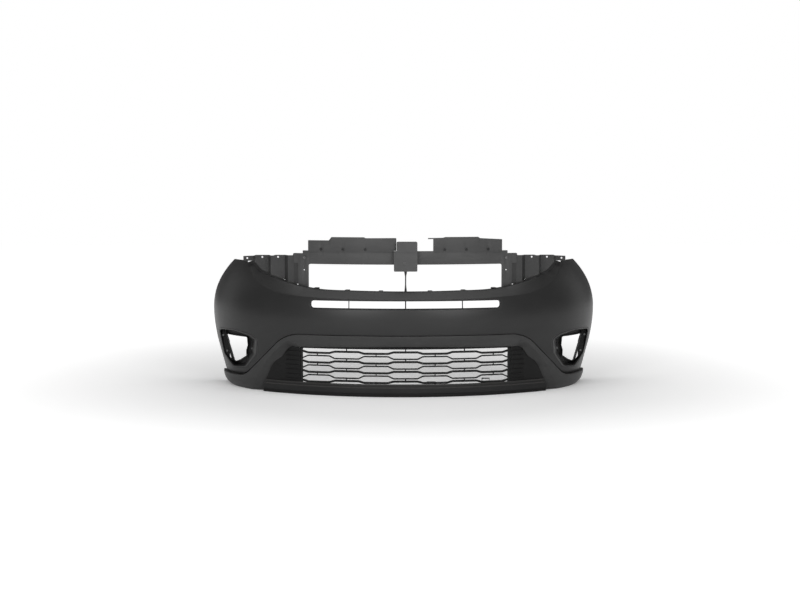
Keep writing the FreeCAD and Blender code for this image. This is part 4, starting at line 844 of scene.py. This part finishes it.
class Finish:
    """A material and its nodes. Every node comes from one method: type, settings, values, number of its
    output."""

    def __init__(self, name, **constants):
        self.material = bpy.data.materials.new(name)
        self.material.use_nodes = True
        self.tree = self.material.node_tree
        self.tree.nodes.clear()
        self.out = self.tree.nodes.new("ShaderNodeOutputMaterial")
        self.skin = self.tree.nodes.new("ShaderNodeBsdfPrincipled")
        self.tree.links.new(self.skin.outputs[0], self.out.inputs[0])
        self.place = self.node("TexCoord", {}, {}, "Object")
        for key, value in constants.items():
            self.skin.inputs[key.replace("_", " ")].default_value = value

    def node(self, kind, settings, values, output=0):
        made = self.tree.nodes.new("ShaderNode" + kind)
        for key, value in settings.items():
            if key == "stops":
                ramp = made.color_ramp
                for spot, (position, grey) in zip(ramp.elements, value):
                    spot.position, spot.color = position, (grey, grey, grey, 1)
            else:
                setattr(made, key, value)
        for key, value in values.items():
            if isinstance(value, Wire):
                self.tree.links.new(value.socket, made.inputs[key])
            else:
                made.inputs[key].default_value = value
        return Wire(self, made.outputs[output])

    def noise(self, scale, detail=4.0, rough=0.55, stretch=(1, 1, 1)):
        where = self.node("Mapping", {}, {"Vector": self.place, "Scale": stretch})
        values = {"Vector": where, "Scale": scale, "Detail": detail, "Roughness": rough}
        return self.node("TexNoise", {}, values, "Fac")

    def ramp(self, value, *stops):
        return self.node("ValToRGB", {"stops": stops}, {0: value})

    def mixed(self, share, a, b):
        return self.node("Mix", {"data_type": "RGBA"}, {0: share, 6: (*a, 1) if isinstance(a, tuple) else a,
                                                        7: (*b, 1) if isinstance(b, tuple) else b}, 2)

    def bump(self, height, strength, distance, normal=None):
        values = {"Height": height, "Strength": strength, "Distance": distance}
        if normal is not None:
            values["Normal"] = normal
        return self.node("Bump", {}, values)

    def facing_up(self):
        """How much the surface faces the sky, where dust settles: the height of its normal."""
        normal = self.node("NewGeometry", {}, {}, "Normal")
        return self.node("SeparateXYZ", {}, {0: normal}, "Z")

    def set(self, **links):
        for key, wire in links.items():
            self.tree.links.new(wire.socket, self.skin.inputs[key.replace("_", " ")])
        return self


def grey(value, warm=0.0):
    return (value * (1 + warm), value, value * (1 - warm))


# %% [markdown]
# ## Moulded plastics
# Bumper plastics are the same stuff with different skins: an even colour that drifts slightly with the flow
# of the melt, a fine grain etched into the mould, faint handling scuffs, and dust on whatever faces up. One
# recipe with different numbers gives them all, so they look related but never alike.

# %% Plastic recipe
def plastic(name, tone, rough, grain=900.0, depth=0.00006, drift=0.18, dust=0.25, scuffs=0.15, warm=0.0,
            specular=0.3, coat=0.0, coat_rough=0.3, waves=0.0):
    f = Finish(name, IOR=1.5, Specular_IOR_Level=specular, Coat_Roughness=coat_rough)
    flow = f.noise(7.0, 3.0, 0.5, (1, 1, 2.2))
    grain_height = f.noise(grain, 2.0, 0.6)
    speck = f.noise(160.0, 4.0, 0.7)
    drag = f.noise(55.0, 6.0, 0.75, (0.25, 1, 2.5))
    scuff = f.ramp(drag, (0.60, 0.0), (0.74, 1.0)) * scuffs
    settled = (f.facing_up() * 1.3 - 0.25).clear() * f.ramp(speck, (0.3, 0.4), (0.75, 1.0)) * dust
    darker, lighter = grey(tone * (1 - drift), warm), grey(tone * (1 + drift), warm)
    base = f.mixed(f.ramp(flow, (0.3, 0.0), (0.7, 1.0)), darker, lighter)
    base = f.mixed(scuff, base, grey(tone * 1.9 + 0.01, warm))
    base = f.mixed(settled, base, grey(0.26, 0.05))
    uneven = rough + (speck - 0.5) * 0.16 + scuff * 0.25 + settled * 0.4
    normal = f.bump(grain_height, 0.35, depth)
    if waves:
        normal = f.bump(f.noise(9.0, 1.0, 0.4), 1.0, waves, normal)
    f.set(Base_Color=base, Roughness=uneven.clear(), Normal=normal)
    if coat:
        f.set(Coat_Weight=(coat - scuff * 0.6 - settled).clear())
    return f.material


FINISHES = {
    "skin_plastic": plastic("skin_plastic", 0.0150, 0.42, 1400, 0.00003, 0.10, 0.02, 0.10,
                            coat=0.12, waves=0.0004),
    "trim_plastic": plastic("trim_plastic", 0.033, 0.45, 1100, 0.00005, 0.12, 0.15, 0.12, waves=0.0004),
    "grille_plastic": plastic("grille_plastic", 0.004, 0.55, 900, 0.00008, 0.2, 0.10, 0.08),
    "panel_plastic": plastic("panel_plastic", 0.003, 0.60, 700, 0.00010, 0.2, 0.12, 0.08),
    "valance_plastic": plastic("valance_plastic", 0.011, 0.62, 500, 0.00012, 0.15, 0.25, 0.18),
    "dam_rubber": plastic("dam_rubber", 0.006, 0.75, 380, 0.00015, 0.25, 0.35, 0.3, warm=0.03),
    "clip_plastic": plastic("clip_plastic", 0.010, 0.40, 1500, 0.00003, 0.1, 0.1, 0.1),
    "pin_plastic": plastic("pin_plastic", 0.012, 0.35, 1500, 0.00003, 0.1, 0.1, 0.1),
    "frame_plastic": plastic("frame_plastic", 0.052, 0.50, 650, 0.00010, 0.12, 0.2, 0.15),
    "deflector_plastic": plastic("deflector_plastic", 0.047, 0.48, 800, 0.00008, 0.12, 0.2, 0.15),
    "block_plastic": plastic("block_plastic", 0.060, 0.45, 900, 0.00006, 0.10, 0.15, 0.12),
    "strut_plastic": plastic("strut_plastic", 0.012, 0.45, 900, 0.00006, 0.12, 0.15, 0.12),
    "insert_plastic": plastic("insert_plastic", 0.006, 0.55, 900, 0.00006, 0.15, 0.1, 0.08),
    "bracket_plastic": plastic("bracket_plastic", 0.030, 0.50, 650, 0.00010, 0.14, 0.2, 0.15),
    "fog_plastic": plastic("fog_plastic", 0.008, 0.60, 600, 0.00010, 0.18, 0.15, 0.1),
    "rail_plastic": plastic("rail_plastic", 0.015, 0.60, 600, 0.00010, 0.18, 0.2, 0.12),
}
print("plastics:", len(FINISHES))

# %% [markdown]
# ## Steel fasteners
# Screws and spring clips are zinc plated steel: bright metal whose plating clouds in small patches, with
# hair lines from rolling and a little brown staining where it has been handled.

# %% Steel recipe
def plated_steel(name, tone, rough, stain):
    f = Finish(name, Metallic=1.0)
    cloud = f.noise(220.0, 5.0, 0.6)
    hair = f.noise(900.0, 2.0, 0.5, (1, 8, 1))
    brown = f.ramp(f.noise(90.0, 6.0, 0.7), (0.58, 0.0), (0.78, 1.0)) * stain
    base = f.mixed(cloud, grey(tone * 0.8), grey(tone * 1.15))
    base = f.mixed(brown, base, (0.20, 0.13, 0.08))
    f.set(Base_Color=base, Roughness=(rough + (cloud - 0.5) * 0.2 + brown * 0.3).clear(),
          Normal=f.bump(hair, 0.25, 0.00004))
    return f.material


FINISHES["screw_steel"] = plated_steel("screw_steel", 0.10, 0.32, 0.3)
FINISHES["clip_steel"] = plated_steel("clip_steel", 0.14, 0.40, 0.5)
for obj in bpy.data.objects:
    if obj.type == "MESH":
        for k, slot in enumerate(obj.material_slots):
            if slot.material and slot.material.name.split(".")[0] in FINISHES:
                slot.material = FINISHES[slot.material.name.split(".")[0]]
print("steels added:", sorted(FINISHES)[:3], "...")

# %% [markdown]
# ## Dressing the parts that keep their CAD shape
# Frames, brackets, clips and screws are flat-sided mouldings, and the CAD already has their shape. What it
# lacks is the small radius every mould leaves, which is what catches the light along an edge. A Weld joins
# the loose triangles and a Bevel rounds the edges; neither changes the mesh itself.

# %% Bevels and finishes on the CAD nodes
ROUNDING = {"support_frame": 0.0009, "headlamp_bracket_right": 0.0008, "headlamp_bracket_left": 0.0008,
            "centre_block": 0.0012, "air_deflector_left": 0.0007, "air_deflector_right": 0.0007}
SLOT_OF = {p["node"]: p["material_slot"] for p in frame["record"]["subparts"] if "material_slot" in p}
dressed = 0
for name, obj in nodes.items():
    if name in ("main_fascia", "lower_trim", "lower_grille", "lower_valance", "air_dam_strip"):
        continue
    obj.data.materials.clear()
    obj.data.materials.append(FINISHES[SLOT_OF.get(name, "pin_plastic")])
    weld = obj.modifiers.new("weld", "WELD")
    weld.merge_threshold = 0.00002
    bevel = obj.modifiers.new("edge", "BEVEL")
    bevel.width, bevel.segments, bevel.limit_method = ROUNDING.get(name, 0.0005), 2, "ANGLE"
    bevel.angle_limit, bevel.use_clamp_overlap = math.radians(40), True
    dressed += 1
for piece, slot in ((fascia, "skin_plastic"), (trim, "trim_plastic"), (grille, "grille_plastic"),
                    (valance, "valance_plastic"), (dam, "dam_rubber")):
    piece.data.materials.append(FINISHES[slot])
print("CAD nodes dressed:", dressed)

# %% [markdown]
# ## Floor, light and camera
# The cover stands on a plain pale floor. The floor also glows with painted light: faintly near the cover and
# more strongly further out, where the lamps light it less. Two broad soft lamps from above and in front, a
# weaker one on each side and a pale surrounding give the even light of a studio, in which dark plastic shows
# its form only by soft sheens.

# %% Studio
def lamp(name, place, target, wide, high, power):
    data = bpy.data.lights.new(name, "AREA")
    data.shape, data.size, data.size_y, data.energy = "RECTANGLE", wide, high, power
    obj = bpy.data.objects.new(name, data)
    bpy.context.scene.collection.objects.link(obj)
    obj.location = place
    obj.rotation_euler = (Vector(target) - Vector(place)).to_track_quat("-Z", "Y").to_euler()
    return obj


floor_mesh = bpy.data.meshes.new("studio_floor")
floor_mesh.from_pydata([(-14, -14, 0), (14, -14, 0), (14, 14, 0), (-14, 14, 0)], [], [(0, 1, 2, 3)])
floor = bpy.data.objects.new("studio_floor", floor_mesh)
bpy.context.scene.collection.objects.link(floor)
# The floor's glow is painted light: its emission rises with distance from the cover, faint under it and
# strong far out.
paper = Finish("studio_paper", Emission_Strength=1.0)
apart = paper.node("VectorMath", {"operation": "LENGTH"}, {0: paper.place}, "Value") * 0.1
paper.set(Base_Color=paper.mixed(paper.noise(3.0), (0.86, 0.86, 0.86), (0.89, 0.89, 0.89)),
          Roughness=paper.noise(40.0) * 0.1 + 0.8,
          Emission_Color=paper.ramp(apart, (0.08, 0.14), (0.28, 0.85)))
floor_mesh.materials.append(paper.material)
lamp("overhead", (0, -0.7, 3.3), (0, -0.1, 0.4), 3.8, 1.6, 46)
lamp("front_left", (-1.5, -4.1, 1.7), (-0.2, 0, 0.35), 1.6, 1.6, 52)
lamp("front_right", (1.5, -4.1, 1.7), (0.2, 0, 0.35), 1.6, 1.6, 52)
lamp("side_left", (-3.0, 0.9, 1.0), (-0.6, 0.1, 0.4), 1.0, 1.8, 4)
lamp("side_right", (3.0, 0.9, 1.0), (0.6, 0.1, 0.4), 1.0, 1.8, 4)
world = bpy.data.worlds.new("studio_air")
bpy.context.scene.world = world
world.use_nodes = True
air = world.node_tree
glow = air.nodes["Background"]
glow.inputs[0].default_value = (1, 1, 1, 1)
seen_by = air.nodes.new("ShaderNodeLightPath")
level = air.nodes.new("ShaderNodeMapRange")
level.inputs["To Min"].default_value, level.inputs["To Max"].default_value = 0.17, 1.0
air.links.new(seen_by.outputs["Is Camera Ray"], level.inputs["Value"])
air.links.new(level.outputs[0], glow.inputs[1])
bpy.context.scene.view_settings.view_transform = "Standard"

# %% Camera
azimuth, elevation, distance = math.radians(-0.8), math.radians(5.0), 6.28
target = Vector((-0.022, 0.0, 0.412))
level_out = math.cos(elevation)
back = Vector((math.sin(azimuth) * level_out, -math.cos(azimuth) * level_out, math.sin(elevation)))
lens = bpy.data.cameras.new("lens")
lens.lens, lens.sensor_width = 61.3, 36.0
camera = bpy.data.objects.new("camera", lens)
bpy.context.scene.collection.objects.link(camera)
camera.location = target + back * distance
camera.rotation_euler = back.to_track_quat("Z", "Y").to_euler()
bpy.context.scene.camera = camera
